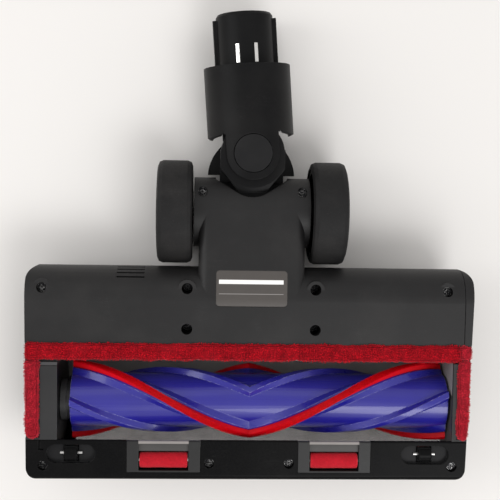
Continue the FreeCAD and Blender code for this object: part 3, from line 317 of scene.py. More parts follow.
def edge_wear_and_highlight_group():
    """Mask of the corners that hands and skirting boards have rubbed, also used for painted highlights along
    the blue bar's ridge edges.
    """
    tree, given, put = group(
        "Worn and highlighted edges",
        [("Radius", "NodeSocketFloat", 0.0009), ("Amount", "NodeSocketFloat", 0.4)],
        [("Mask", "NodeSocketFloat")])
    rounded = rounded_normal(tree, given["Radius"])
    flat = tree.nodes.new("ShaderNodeNewGeometry").outputs["Normal"]
    dot = node(tree, "ShaderNodeVectorMath", {0: rounded, 1: flat}, operation="DOT_PRODUCT").outputs["Value"]
    corner = span(tree, dot, 0.995, 0.80)
    broken = span(tree, texture(tree, 420.0, 4.0, 0.65), 0.42, 0.62)
    worn = math_node(tree, "MULTIPLY", corner, broken)
    tree.links.new(math_node(tree, "MULTIPLY", worn, given["Amount"], True), put["Mask"])
    return tree


def dust_group():
    """Settled dust in soft patches and a few fine scratches."""
    tree, given, put = group(
        "Dust and scratches",
        [("Dust", "NodeSocketFloat", 0.15), ("Scratches", "NodeSocketFloat", 0.2)],
        [("Dust", "NodeSocketFloat"), ("Scratch", "NodeSocketFloat")])
    patches = span(tree, texture(tree, 24.0, 5.0, 0.6), 0.45, 0.75)
    specks = span(tree, texture(tree, 1500.0, 2.0), 0.62, 0.75)
    dusty = math_node(tree, "ADD", math_node(tree, "MULTIPLY", patches, 0.6),
                      math_node(tree, "MULTIPLY", specks, 0.4))
    tree.links.new(math_node(tree, "MULTIPLY", dusty, given["Dust"], True), put["Dust"])
    turned = stretched_place(tree, (1.0, 22.0, 6.0), (0.0, 0.0, 0.7))
    lines = texture(tree, 34.0, 3.0, 0.7, turned)
    fine = span(tree, math_node(tree, "ABSOLUTE", math_node(tree, "SUBTRACT", lines, 0.5)), 0.004, 0.0)
    where = span(tree, texture(tree, 55.0, 1.0), 0.60, 0.66)
    mask = math_node(tree, "MULTIPLY", math_node(tree, "MULTIPLY", fine, where), given["Scratches"], True)
    tree.links.new(mask, put["Scratch"])
    return tree


def drift_group():
    """A colour that drifts a little over the surface."""
    tree, given, put = group(
        "Colour drift",
        [("Colour", "NodeSocketColor", (0.5, 0.5, 0.5, 1.0)), ("Amount", "NodeSocketFloat", 0.2),
         ("Scale", "NodeSocketFloat", 40.0)],
        [("Colour", "NodeSocketColor")])
    cloud = texture(tree, given["Scale"], 4.0, 0.6)
    shift = math_node(tree, "MULTIPLY", math_node(tree, "SUBTRACT", cloud, 0.5), given["Amount"])
    value = math_node(tree, "ADD", shift, 1.0)
    shifted = node(tree, "ShaderNodeHueSaturation", {"Color": given["Colour"], "Value": value})
    tree.links.new(shifted.outputs["Color"], put["Colour"])
    return tree


def pile_tone_and_shade_group():
    """Colour of a pile: dark at its roots as painted shade deep in the pile, pale at its tips, in soft
    clumps.
    """
    tree, given, put = group(
        "Pile tone with painted root shade",
        [("Tip", "NodeSocketColor", (0.6, 0.02, 0.04, 1.0)),
         ("Root", "NodeSocketColor", (0.1, 0.0, 0.002, 1.0)),
         ("Clumps", "NodeSocketFloat", 260.0)],
        [("Colour", "NodeSocketColor"), ("Height", "NodeSocketFloat")])
    up = node(tree, "ShaderNodeAttribute", attribute_name="pile").outputs["Fac"]
    shade = node(tree, "ShaderNodeAttribute", attribute_name="shade").outputs["Fac"]
    clump = span(tree, texture(tree, given["Clumps"], 3.0, 0.6), 0.35, 0.65, 0.6, 1.0)
    toned = span(tree, shade, 0.0, 1.0, 0.42, 1.0)
    lit = math_node(tree, "MULTIPLY", math_node(tree, "MULTIPLY", up, clump), toned, True)
    tree.links.new(mixed(tree, lit, given["Root"], given["Tip"]), put["Colour"])
    tree.links.new(texture(tree, 3800.0, 1.0), put["Height"])
    return tree


def streak_group():
    """Long faint draw lines along the bar from its mould."""
    tree, given, put = group(
        "Draw lines",
        [("Depth", "NodeSocketFloat", 0.1), ("Edge radius", "NodeSocketFloat", 0.0005)],
        [("Normal", "NodeSocketVector"), ("Mask", "NodeSocketFloat")])
    stretched = stretched_place(tree, (4.0, 420.0, 420.0))
    lines = texture(tree, 1.0, 2.0, 0.5, stretched)
    rounded = rounded_normal(tree, given["Edge radius"])
    bump = node(tree, "ShaderNodeBump",
                {"Strength": given["Depth"], "Distance": 0.0002, "Height": lines, "Normal": rounded})
    tree.links.new(bump.outputs["Normal"], put["Normal"])
    tree.links.new(lines, put["Mask"])
    return tree


GROUP_MAKERS = {
    "Moulded grain": moulded_grain_group,
    "Worn and highlighted edges": edge_wear_and_highlight_group,
    "Dust and scratches": dust_group,
    "Colour drift": drift_group,
    "Pile tone with painted root shade": pile_tone_and_shade_group,
    "Draw lines": streak_group,
}


def placed(tree, name, inputs):
    """One of the shared groups, built the first time it is used."""
    shared = bpy.data.node_groups.get(name) or GROUP_MAKERS[name]()
    return node(tree, "ShaderNodeGroup", inputs, node_tree=shared).outputs


# Materials


def blank_material(name, **values):
    material = bpy.data.materials.new(name)
    material.use_nodes = True
    shader = material.node_tree.nodes["Principled BSDF"]
    for label, value in values.items():
        shader.inputs[label.replace("_", " ")].default_value = value
    return material, material.node_tree, shader.inputs


def drifting(tree, tint, amount, scale):
    """A plain colour, put through the shared group that lets it drift."""
    return placed(tree, "Colour drift", {"Colour": (*tint, 1.0), "Amount": amount, "Scale": scale})["Colour"]


def lifted(tint, gain, lift=0.0):
    return [min(1.0, c * gain + lift) for c in tint]


def tinted(tint, gains):
    return [min(1.0, c * gain) for c, gain in zip(tint, gains)]


def band(tree, value, low, high):
    """Mask that is one between two places along an axis."""
    soft = 0.12 * MM
    rise = span(tree, value, low - soft, low + soft)
    fall = span(tree, value, high + soft, high - soft)
    return math_node(tree, "MULTIPLY", rise, fall, True)


def zone(tree, low, high):
    """Mask of a box of the part, from its corners in millimetres."""
    place = node(tree, "ShaderNodeSeparateXYZ", {0: object_place(tree)}).outputs
    masks = [band(tree, place[axis], low[axis] * MM, high[axis] * MM) for axis in range(3)]
    return math_node(tree, "MULTIPLY", math_node(tree, "MULTIPLY", masks[0], masks[1]), masks[2])


def chamber_mask(tree, front, back):
    """Mask of the chamber's walls that face the brush, between two places along Y in millimetres."""
    trough_z, wall, past_wall = 28.5 * MM, 27.0 * MM, 27.4 * MM
    place = node(tree, "ShaderNodeSeparateXYZ", {0: object_place(tree)}).outputs
    across = math_node(tree, "SUBTRACT", place["Y"], BRUSH_Y)
    below = math_node(tree, "MINIMUM", math_node(tree, "SUBTRACT", place["Z"], trough_z), 0.0)
    reach = math_node(tree, "SQRT", math_node(tree, "ADD", math_node(tree, "MULTIPLY", across, across),
                                              math_node(tree, "MULTIPLY", below, below)))
    inside = span(tree, reach, past_wall, wall)
    room = zone(tree, (CHAMBER_X[0], front, CHAMBER_Z[0]), (CHAMBER_X[1], back, CHAMBER_Z[1]))
    return math_node(tree, "MULTIPLY", inside, room, True)


def boxed(low, high):
    """A function that builds the mask of a box in whatever material it is placed."""
    return lambda tree: zone(tree, low, high)


def bay(x, half, low, high):
    """A function that builds the mask of a box about a place along X, from its corners' Y and Z."""
    return boxed((x - half, *low), (x + half, *high))


def walls(front, back):
    """A function that builds the mask of the chamber's walls between two places along Y."""
    return lambda tree: chamber_mask(tree, front, back)


def glide_hollow_painted_light(wheel):
    """A function that builds the mask of the dished hollow round a glide wheel, which gets painted light."""
    low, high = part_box(wheel)
    x, y = (low.x + high.x) / 2.0 / MM, (low.y + high.y) / 2.0 / MM
    half_x, half_y = POCKET_HALF
    return bay(x, half_x, (y - half_y, POCKET_Z[0]), (y + half_y, POCKET_Z[1]))


def grained(tree, shader, scale, depth, radius):
    """Lays the moulded grain over the surface, and gives back its height."""
    surface = placed(tree, "Moulded grain", {"Scale": scale, "Depth": depth, "Edge radius": radius})
    tree.links.new(surface["Normal"], shader["Normal"])
    return surface["Height"]


def moulded(name, tint, roughness, grain, wear, dust, scale=2200.0, radius=0.0005, specular=0.30, zones=()):
    """Moulded plastic or rubber: grain, softly lit edges, rubbed corners, dust and scratches.

    Each zone is a function that builds a mask, and the tint inside it.
    """
    material, tree, shader = blank_material(name, Specular_IOR_Level=specular)
    body = (*tint, 1.0)
    for mask, zone_tint in zones:
        body = mixed(tree, mask(tree), body, zone_tint)
    drift = placed(tree, "Colour drift", {"Colour": body, "Amount": 0.45, "Scale": 45.0})["Colour"]
    worn = placed(tree, "Worn and highlighted edges", {"Amount": wear})["Mask"]
    marks = placed(tree, "Dust and scratches", {"Dust": dust, "Scratches": 0.35})
    pale = mixed(tree, worn, drift, lifted(tint, 3.2, 0.03))
    dusted = mixed(tree, marks["Dust"], pale, DUST_GREY)
    scratched = mixed(tree, marks["Scratch"], dusted, lifted(tint, 2.5, 0.06))
    tree.links.new(scratched, shader["Base Color"])
    height = grained(tree, shader, scale, grain, radius)
    rough = span(tree, height, 0.3, 0.7, max(0.02, roughness - 0.07), roughness + 0.07)
    dulled = math_node(tree, "MULTIPLY", marks["Dust"], 0.4)
    tree.links.new(math_node(tree, "ADD", rough, dulled, True), shader["Roughness"])
    return material


def metal(name, tint, roughness, brushed=900.0, worn=0.0):
    material, tree, shader = blank_material(name, Metallic=1.0)
    grain = texture(tree, brushed, 3.0, 0.6, stretched_place(tree, (0.15, 1.0, 1.0)))
    drift = drifting(tree, tint, 0.25, 160.0)
    rubbed = placed(tree, "Worn and highlighted edges", {"Radius": 0.0003, "Amount": worn})["Mask"]
    tree.links.new(mixed(tree, rubbed, drift, RUBBED_STEEL), shader["Base Color"])
    smoothest = max(0.05, roughness - 0.08)
    tree.links.new(span(tree, grain, 0.3, 0.7, smoothest, roughness + 0.08), shader["Roughness"])
    bump = node(tree, "ShaderNodeBump", {"Strength": 0.15, "Distance": 0.0001, "Height": grain})
    tree.links.new(bump.outputs["Normal"], shader["Normal"])
    return material


def window_material(settings):
    """Clear smoke plastic with faint handling haze; its left end is painted opaque near-black as painted
    shade.
    """
    material, tree, shader = blank_material("Smoke window", Specular_IOR_Level=0.5, IOR=1.49)
    drift = drifting(tree, settings.window, 0.12, 30.0)
    # Painted shade: the window's left end turns opaque near-black where the gap beside the drive hub lies in
    # shade
    painted_shade_mask = zone(tree, *PAINTED_SHADE_AT_WINDOW_TIP)
    tree.links.new(mixed(tree, painted_shade_mask, drift, SEAM_AND_PAINTED_SHADOW_BLACK), shader["Base Color"])
    haze = texture(tree, 60.0, 4.0, 0.6)
    cover = span(tree, haze, 0.35, 0.7, settings.window_cover - 0.04, settings.window_cover + 0.06)
    tree.links.new(math_node(tree, "MAXIMUM", cover, painted_shade_mask), shader["Alpha"])
    tree.links.new(span(tree, haze, 0.3, 0.7, 0.08, 0.22), shader["Roughness"])
    grained(tree, shader, 90.0, 0.05, 0.0006)
    return material


def label_material(settings):
    """Bare rating label: grey-brown foil with a pale bar and one thin rule."""
    material, tree, shader = blank_material("Bare label", Specular_IOR_Level=0.4)
    rule_grey, bar_white, dulled = (0.42, 0.40, 0.39), (0.93, 0.92, 0.90), (0.10, 0.095, 0.09)
    bar = zone(tree, *LABEL_BAR)
    rule = zone(tree, *LABEL_RULE)
    base = drifting(tree, settings.label, 0.2, 120.0)
    ruled = mixed(tree, math_node(tree, "MULTIPLY", rule, 0.7), base, rule_grey)
    barred = mixed(tree, bar, ruled, bar_white)
    marks = placed(tree, "Dust and scratches", {"Dust": 0.2, "Scratches": 0.3})
    tree.links.new(mixed(tree, marks["Dust"], barred, dulled), shader["Base Color"])
    height = grained(tree, shader, 1400.0, 0.15, 0.0003)
    tree.links.new(span(tree, height, 0.3, 0.7, 0.38, 0.52), shader["Roughness"])
    return material


def bar_material(settings):
    """Deep blue, high gloss, with the mould's draw lines and painted highlights of pale blue along the ridge
    edges.
    """
    painted_highlight_blue, dusty_blue = (0.66, 0.65, 0.88), (0.2, 0.2, 0.3)
    material, tree, shader = blank_material("Blue bar", Specular_IOR_Level=0.5, Coat_Weight=0.3,
                                            Coat_Roughness=0.06)
    lines = placed(tree, "Draw lines", {"Depth": 0.16, "Edge radius": 0.0006})
    tint = drifting(tree, settings.blue, 0.35, 30.0)
    marks = placed(tree, "Dust and scratches", {"Dust": 0.05, "Scratches": 0.3})
    # Painted highlight: the edge mask pales the ridge edges towards light blue, standing in for their thin
    # highlight lines
    worn = placed(tree, "Worn and highlighted edges", {"Amount": 0.75, "Radius": 0.0005})["Mask"]
    pale = mixed(tree, worn, tint, painted_highlight_blue)
    tree.links.new(mixed(tree, marks["Dust"], pale, dusty_blue), shader["Base Color"])
    tree.links.new(span(tree, lines["Mask"], 0.3, 0.7, 0.24, 0.36), shader["Roughness"])
    tree.links.new(lines["Normal"], shader["Normal"])
    return material


def pile_material(name, tip, root, sheen, clumps, roughness=0.9):
    """Pile, flock or filaments: the colour climbs from root to tip, as painted shade at the roots, with a
    soft sheen.
    """
    material, tree, shader = blank_material(name, Sheen_Weight=sheen, Sheen_Roughness=0.45,
                                            Sheen_Tint=(1.0, 0.45, 0.45, 1.0), Specular_IOR_Level=0.2)
    pile = placed(tree, "Pile tone with painted root shade", {"Tip": (*tip, 1.0), "Root": (*root, 1.0), "Clumps": clumps})
    tree.links.new(pile["Colour"], shader["Base Color"])
    tree.links.new(span(tree, pile["Height"], 0.3, 0.7, roughness - 0.12, roughness), shader["Roughness"])
    bump = node(tree, "ShaderNodeBump", {"Strength": 0.3, "Distance": 0.0001, "Height": pile["Height"]})
    tree.links.new(bump.outputs["Normal"], shader["Normal"])
    return material


def board_material():
    """Green lacquered board with faint tracks."""
    material, tree, shader = blank_material("Lacquered board", Specular_IOR_Level=0.5)
    tracks = node(tree, "ShaderNodeTexBrick", {
        "Vector": object_place(tree), "Color1": (0.020, 0.16, 0.05, 1.0), "Color2": (0.016, 0.12, 0.04, 1.0),
        "Mortar": (0.05, 0.26, 0.09, 1.0), "Scale": 180.0, "Mortar Size": 0.012})
    tree.links.new(tracks.outputs["Color"], shader["Base Color"])
    height = grained(tree, shader, 700.0, 0.15, 0.0003)
    tree.links.new(span(tree, height, 0.3, 0.7, 0.25, 0.4), shader["Roughness"])
    return material


def table_material(settings):
    """Pale, very slightly mottled table top."""
    material, tree, shader = blank_material("Table", Specular_IOR_Level=0.15)
    tree.links.new(drifting(tree, settings.table, 0.03, 3.0), shader["Base Color"])
    tree.links.new(span(tree, texture(tree, 300.0), 0.3, 0.7, 0.7, 0.85), shader["Roughness"])
    return material


# Modelling


def dress(names, material):
    for name in names:
        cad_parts[name].material_slots[0].material = material


def keep(bm, name, body, material, stands_for, smooth=True):
    """Turns a finished bmesh into a piece that rides on its body."""
    mesh = bpy.data.meshes.new(name)
    bm.normal_update()
    bm.to_mesh(mesh)
    bm.free()
    mesh.polygons.foreach_set("use_smooth", [smooth] * len(mesh.polygons))
    piece = bpy.data.objects.new(name, mesh)
    bpy.context.scene.collection.objects.link(piece)
    mesh.materials.append(material)
    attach(piece, body)
    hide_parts(*stands_for)
    return piece


def along(edge, axis):
    run = edge.verts[1].co - edge.verts[0].co
    return abs(run[axis]) > 0.9 * run.length


def rounded_bar(low, high, radius, cell):
    """Mesh of a closed bar with rounded edges, cut into cells about as wide as one tuft."""
    middle = (Vector(low) + Vector(high)) / 2.0
    size = Vector(high) - Vector(low)
    bm = bmesh.new()
    bmesh.ops.create_cube(bm, size=1.0, matrix=Matrix.Translation(middle) @ Matrix.Diagonal((*size, 1.0)))
    for axis in range(3):
        runs = [e for e in bm.edges if along(e, axis)]
        cuts = max(2, round(size[axis] / cell)) - 1
        bmesh.ops.subdivide_edges(bm, edges=runs, cuts=cuts, use_grid_fill=True)
    for vert in bm.verts:
        heart = Vector([min(max(vert.co[k], low[k] + radius), high[k] - radius) for k in range(3)])
        out = vert.co - heart
        if out.length > 1e-9:
            vert.co = heart + out.normalized() * radius
    mesh = bpy.data.meshes.new("backing")
    bm.to_mesh(mesh)
    bm.free()
    return mesh


def tufted(bm, faces, height, spread, lean, rng):
    """Draws every face out into a tapering tuft that leans with its neighbours.

    The noise runs in waves per metre: broad and close ones for the lean, patches for the height.
    """
    broad, close, patch = 260.0, 1900.0, 150.0
    pile = bm.verts.layers.float.get("pile") or bm.verts.layers.float.new("pile")
    shade = bm.verts.layers.float.get("shade") or bm.verts.layers.float.new("shade")
    drawn = bmesh.ops.extrude_discrete_faces(bm, faces=faces)["faces"]
    for face in drawn:
        middle = face.calc_center_median()
        out = face.normal.copy()
        sway = Vector(noise.noise_vector(middle * broad)) * lean
        sway += Vector(noise.noise_vector(middle * close)) * lean * 0.6
        uneven = 0.65 + 0.55 * rng.random()
        patchy = 0.85 + 0.5 * noise.noise(middle * patch)
        tip = (out + sway).normalized() * (height * uneven * patchy)
        tone = rng.random()
        for vert in face.verts:
            vert.co = middle + (vert.co - middle) * spread + tip
            # Tips take the tip colour; the base stays at the painted shade of the roots
            vert[pile] = 1.0
            vert[shade] = tone


def corner_cut(reach, radius):
    """How far a rounded corner has drawn back, at a distance past the start of its curve."""
    inside = min(max(reach, 0.0), radius * 0.98)
    return radius - math.sqrt(radius * radius - inside * inside)


def plan_fitted(place, low, high):
    """Moves a pad's outer side to the head's tapering end and rounds its corners in plan.

    Only a pad that reaches past END_PAD_X follows the taper, and only one that runs deeper than DEEP_PAD
    has round front corners.
    """
    x, y, z = place
    middle = (low + high) / 2.0
    half = (high - low) / 2.0
    depth = (TAPER_START_Y - y) / TAPER_DEPTH
    inner = max(middle.x, LEFT_INNER_X)
    if x > middle.x and high.x > END_PAD_X:
        x += (x - middle.x) / half.x * (HEAD_END - RIGHT_TAPER * depth - high.x)
    if x < inner and low.x < -END_PAD_X:
        x += (inner - x) / (inner - low.x) * (LEFT_TAPER * depth - HEAD_END - low.x)
    if high.y - low.y > DEEP_PAD:
        drawn = corner_cut(low.y + FRONT_CORNER - y, FRONT_CORNER)
        x = middle.x + (x - middle.x) * (1.0 - drawn / half.x)
    outer = abs(x) - REAR_CORNER_X
    if y > middle.y and high.y > REAR_PLUSH_Y:
        y -= corner_cut(outer, REAR_CORNER) * (y - middle.y) / half.y
    return Vector((x, y, z))


def plush_pad(name, boxes, body, node_name, settings, material, number):
    """Plush seal: a ruffled backing with its pile drawn out of every cell above the shell."""
    waves, fine_waves = 170.0, 620.0
    rng = random.Random(settings.seed + number)
    bm = bmesh.new()
    for low, high in boxes:
        backing = Vector((high[0], high[1], high[2] - 0.8 * settings.pile))
        mesh = rounded_bar(low, backing, BACKING_EDGE, settings.tuft)
        for vert in mesh.vertices:
            vert.co = plan_fitted(vert.co, low, backing)
        bm.from_mesh(mesh)
        bpy.data.meshes.remove(mesh)
    for vert in bm.verts:
        rise = vert.co.z - RUFFLE_Z
        if rise > 0.0:
            ruffle = noise.noise_vector(vert.co * waves)
            fine = noise.noise_vector(vert.co * fine_waves)
            reach = min(1.0, rise / RUFFLE_RISE)
            for axis, depth in enumerate(RUFFLE_DEPTHS):
                vert.co[axis] += (depth * ruffle[axis] + FINE_DEPTH * fine[axis]) * reach
    bmesh.ops.recalc_face_normals(bm, faces=bm.faces)
    bm.normal_update()
    grown = [f for f in bm.faces if f.calc_center_median().z > PILE_Z and f.normal.z > -0.2]
    tufted(bm, grown, settings.pile, spread=0.42, lean=0.55, rng=rng)
    piece = keep(bm, name, body, material, (node_name,))


def helix_angle(x, seam):
    """Angle about the bar's axis of a strip that turns back both ways from the seam at the middle."""
    return seam - 2.0 * math.pi * abs(x) / STRIP_PITCH


def bristle_strip(name, node_name, seam, settings, material, number):
    """Dense filament row that runs as a V along the bar, on a low crowned backing."""
    root, crest, half, crown = 0.0187, 0.0214, 0.0021, 0.0002
    filament_root, filament_tip, half_tips, outer_part = 0.0206, 0.0224, 0.00222, 0.0213
    cut_short, rounded_off, lean_along, lean_round, fanned = 0.0003, 0.0002, 0.00018, 0.006, 0.004
    end_margin = 0.0002
    low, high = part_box(node_name)
    left, right = low.x, high.x
    rng = random.Random(settings.seed + number)
    bm = bmesh.new()
    pile = bm.verts.layers.float.new("pile")
    shade = bm.verts.layers.float.new("shade")

    def at(x, radius, angle):
        return Vector((x, BRUSH_Y + radius * math.cos(angle), BRUSH_Z + radius * math.sin(angle)))

    steps = 90
    corners = [(root, -half / root), (crest, -half / crest), (crest + crown, 0.0), (crest, half / crest),
               (root, half / root)]
    for end in (left, right):
        verts = [bm.verts.new(at(0.0, r, seam + a)) for r, a in corners]
        face = bm.faces.new(verts)
        bmesh.ops.spin(bm, geom=[face, *face.edges, *verts], cent=(0.0, BRUSH_Y, BRUSH_Z),
                       axis=(1.0, 0.0, 0.0), dvec=(end / steps, 0.0, 0.0), angle=helix_angle(end, 0.0),
                       steps=steps)
    bmesh.ops.recalc_face_normals(bm, faces=bm.faces)
    for vert in bm.verts:
        reach = math.hypot(vert.co.y - BRUSH_Y, vert.co.z - BRUSH_Z)
        # Painted shade: the backing darkens towards the bar's core
        vert[pile] = 0.25 + 0.5 * (reach - root) / (crest - root)
        vert[shade] = 0.5
    rows = int((right - left) / settings.pitch)
    for row in range(rows):
        x_row = left + settings.filament / 2.0 + (right - left - settings.filament) * row / (rows - 1)
        for column in range(settings.across):
            share = (column + 0.5 + 0.5 * (rng.random() - 0.5)) / settings.across * 2.0 - 1.0
            strayed = x_row + 0.3 * settings.pitch * (rng.random() - 0.5)
            x = min(max(strayed, left + end_margin), right - end_margin)
            angle = helix_angle(x, seam) + share * half_tips / filament_tip
            reach = filament_tip - cut_short * rng.random() ** 2 - rounded_off * abs(share) ** 3
            base = at(x, filament_root, angle)
            lean = Vector((lean_along * (rng.random() - 0.5), 0.0, 0.0))
            tip = at(x, reach, angle + lean_round * (rng.random() - 0.5) + fanned * share) + lean
            run = tip - base
            spot = Matrix.Translation((base + tip) / 2.0) @ run.to_track_quat("Z", "Y").to_matrix().to_4x4()
            made = bmesh.ops.create_cone(bm, cap_ends=True, segments=3, radius1=settings.filament / 2.0,
                                         radius2=settings.filament / 3.2, depth=run.length, matrix=spot)
            tone = rng.random()
            for vert in made["verts"]:
                outer = math.hypot(vert.co.y - BRUSH_Y, vert.co.z - BRUSH_Z) > outer_part
                # Painted shade: each filament's inner part keeps a darker share of the root colour
                vert[pile] = 1.0 if outer else 0.45
                vert[shade] = tone
    keep(bm, name, "brush", material, (node_name,), smooth=False)


def flocked_roller(name, node_name, body, settings, material, number):
    """Roller turned from its profile, with a short flock over its whole face."""
    low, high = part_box(node_name)
    middle = (low + high) / 2.0
    radius = (high.z - low.z) / 2.0 - settings.flock
    half = (high.x - low.x) / 2.0
    edge = 0.0007
    pin_radius = 0.0013

    def reach(place):
        return math.hypot(place.y - middle.y, place.z - middle.z)

    rng = random.Random(settings.seed + number)
    bm = bmesh.new()
    slope = 0.3 * edge
    left_side = [(-half, pin_radius), (-half, radius - edge), (-half + slope, radius - slope),
                 (-half + edge, radius)]
    corners = left_side + [(-x, r) for x, r in reversed(left_side)]
    verts = [bm.verts.new(middle + Vector((x, 0.0, r))) for x, r in corners]
    edges = [bm.edges.new(pair) for pair in zip(verts, verts[1:] + verts[:1])]
    around = round(2.0 * math.pi * radius / settings.tuft)
    bmesh.ops.spin(bm, geom=verts + edges, cent=middle, axis=(1.0, 0.0, 0.0), angle=2.0 * math.pi,
                   steps=around, use_merge=True)
    bmesh.ops.remove_doubles(bm, verts=bm.verts, dist=1e-6)
    outer = [e for e in bm.edges if min(reach(v.co) for v in e.verts) > radius / 2.0]
    runs = [e for e in outer if e.calc_length() > half]
    cuts = round(2.0 * half / settings.tuft) - 1
    bmesh.ops.subdivide_edges(bm, edges=runs, cuts=cuts, use_grid_fill=True)
    bmesh.ops.recalc_face_normals(bm, faces=bm.faces)
    bm.normal_update()
    pile = bm.verts.layers.float.new("pile")
    shade = bm.verts.layers.float.new("shade")
    for vert in bm.verts:
        # Painted shade: the roller's skin under the flock keeps a darker share of the root colour
        vert[pile] = 0.35
        vert[shade] = 0.5
    skin = [f for f in bm.faces if reach(f.calc_center_median()) > radius - 0.6 * edge]
    tufted(bm, skin, settings.flock, spread=0.55, lean=0.35, rng=rng)
    for vert in bm.verts:
        arm = Vector((0.0, vert.co.y - middle.y, vert.co.z - middle.z))
        if arm.length > (high.z - low.z) / 2.0:
            arm.length = (high.z - low.z) / 2.0
            vert.co = Vector((vert.co.x, middle.y, middle.z)) + arm
        vert.co.x = min(max(vert.co.x, low.x), high.x)
    keep(bm, name, body, material, (node_name,))


def screw_set(name, node_name, places, settings, material):
    """Screws whose grid-cut heads carry a cross recess."""
    bm = bmesh.new()
    head = settings.head_radius
    arm = settings.slot_width / 2.0
    under = settings.head_height
    rim_drop, shank, shank_drop = 0.00012, 0.0013, 0.009
    rings = ((rim_drop, head), (under, head), (under, shank), (shank_drop, shank))
    slot_reach, slot_draft = 0.62, 0.8
    ticks = (-1.0, -slot_reach, -arm / head, 0.0, arm / head, slot_reach, 1.0)
    for x, y, z in places:
        top = Vector((x, y, z))
        made = bmesh.ops.create_grid(bm, x_segments=6, y_segments=6, size=1.0)
        for vert in made["verts"]:
            u, v = (ticks[round(c * 3) + 3] for c in vert.co.xy)
            if max(abs(u), abs(v)) > 0.99:
                spread = math.hypot(round(vert.co.x * 3), round(vert.co.y * 3))
                u, v = round(vert.co.x * 3) / spread, round(vert.co.y * 3) / spread
            vert.co = Vector((x + u * head, y + v * head, z))
        faces = {f for v in made["verts"] for f in v.link_faces}
        cross = []
        for face in faces:
            spot = face.calc_center_median() - top
            near, far = sorted((abs(spot.x), abs(spot.y)))
            if near < arm and far < slot_reach * head:
                cross.append(face)
        sunk = bmesh.ops.extrude_face_region(bm, geom=cross)["geom"]
        bmesh.ops.delete(bm, geom=cross, context="FACES_ONLY")
        for vert in (g for g in sunk if isinstance(g, bmesh.types.BMVert)):
            offset = vert.co - top
            vert.co = top + offset * slot_draft - Vector((0.0, 0.0, settings.slot_depth))
        open_edges = [e for e in bm.edges if e.is_boundary]
        rim = [e for e in open_edges if all((v.co - top).length < 1.01 * head for v in e.verts)]
        for drop, radius in rings:
            wall = bmesh.ops.extrude_edge_only(bm, edges=rim)["geom"]
            for vert in (g for g in wall if isinstance(g, bmesh.types.BMVert)):
                flat = Vector((vert.co.x - x, vert.co.y - y, 0.0)).normalized() * radius
                vert.co = Vector((x, y, z - drop)) + flat
            rim = [g for g in wall if isinstance(g, bmesh.types.BMEdge)]
        bmesh.ops.contextual_create(bm, geom=rim)
    bmesh.ops.recalc_face_normals(bm, faces=bm.faces)
    keep(bm, name, "head", material, (node_name,), smooth=False)


def screw_places(node_name):
    """Centre and head height of each screw of a node, read from its packed shape's corners."""
    one_screw = 0.006
    points = [v.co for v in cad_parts[node_name].data.vertices]
    centres = []
    for point in points:
        if not any((point.xy - centre.xy).length < one_screw for centre, _ in centres):
            centres.append((point.copy(), []))
        for centre, near in centres:
            if (point.xy - centre.xy).length < one_screw:
                near.append(point)
    found = []
    for _, near in centres:
        xs = [p.x for p in near]
        ys = [p.y for p in near]
        found.append(((min(xs) + max(xs)) / 2.0, (min(ys) + max(ys)) / 2.0, max(p.z for p in near)))
    return found


def softbox(name, place, target, width, height, power):
    lamp = bpy.data.lights.new(name, "AREA")
    lamp.shape = "RECTANGLE"
    lamp.size = width
    lamp.size_y = height
    lamp.energy = power
    made = bpy.data.objects.new(name, lamp)
    aim = (Vector(target) - Vector(place)).to_track_quat("-Z", "Y").to_matrix().to_4x4()
    made.matrix_world = Matrix.Translation(place) @ aim
    bpy.context.scene.collection.objects.link(made)


# Operators


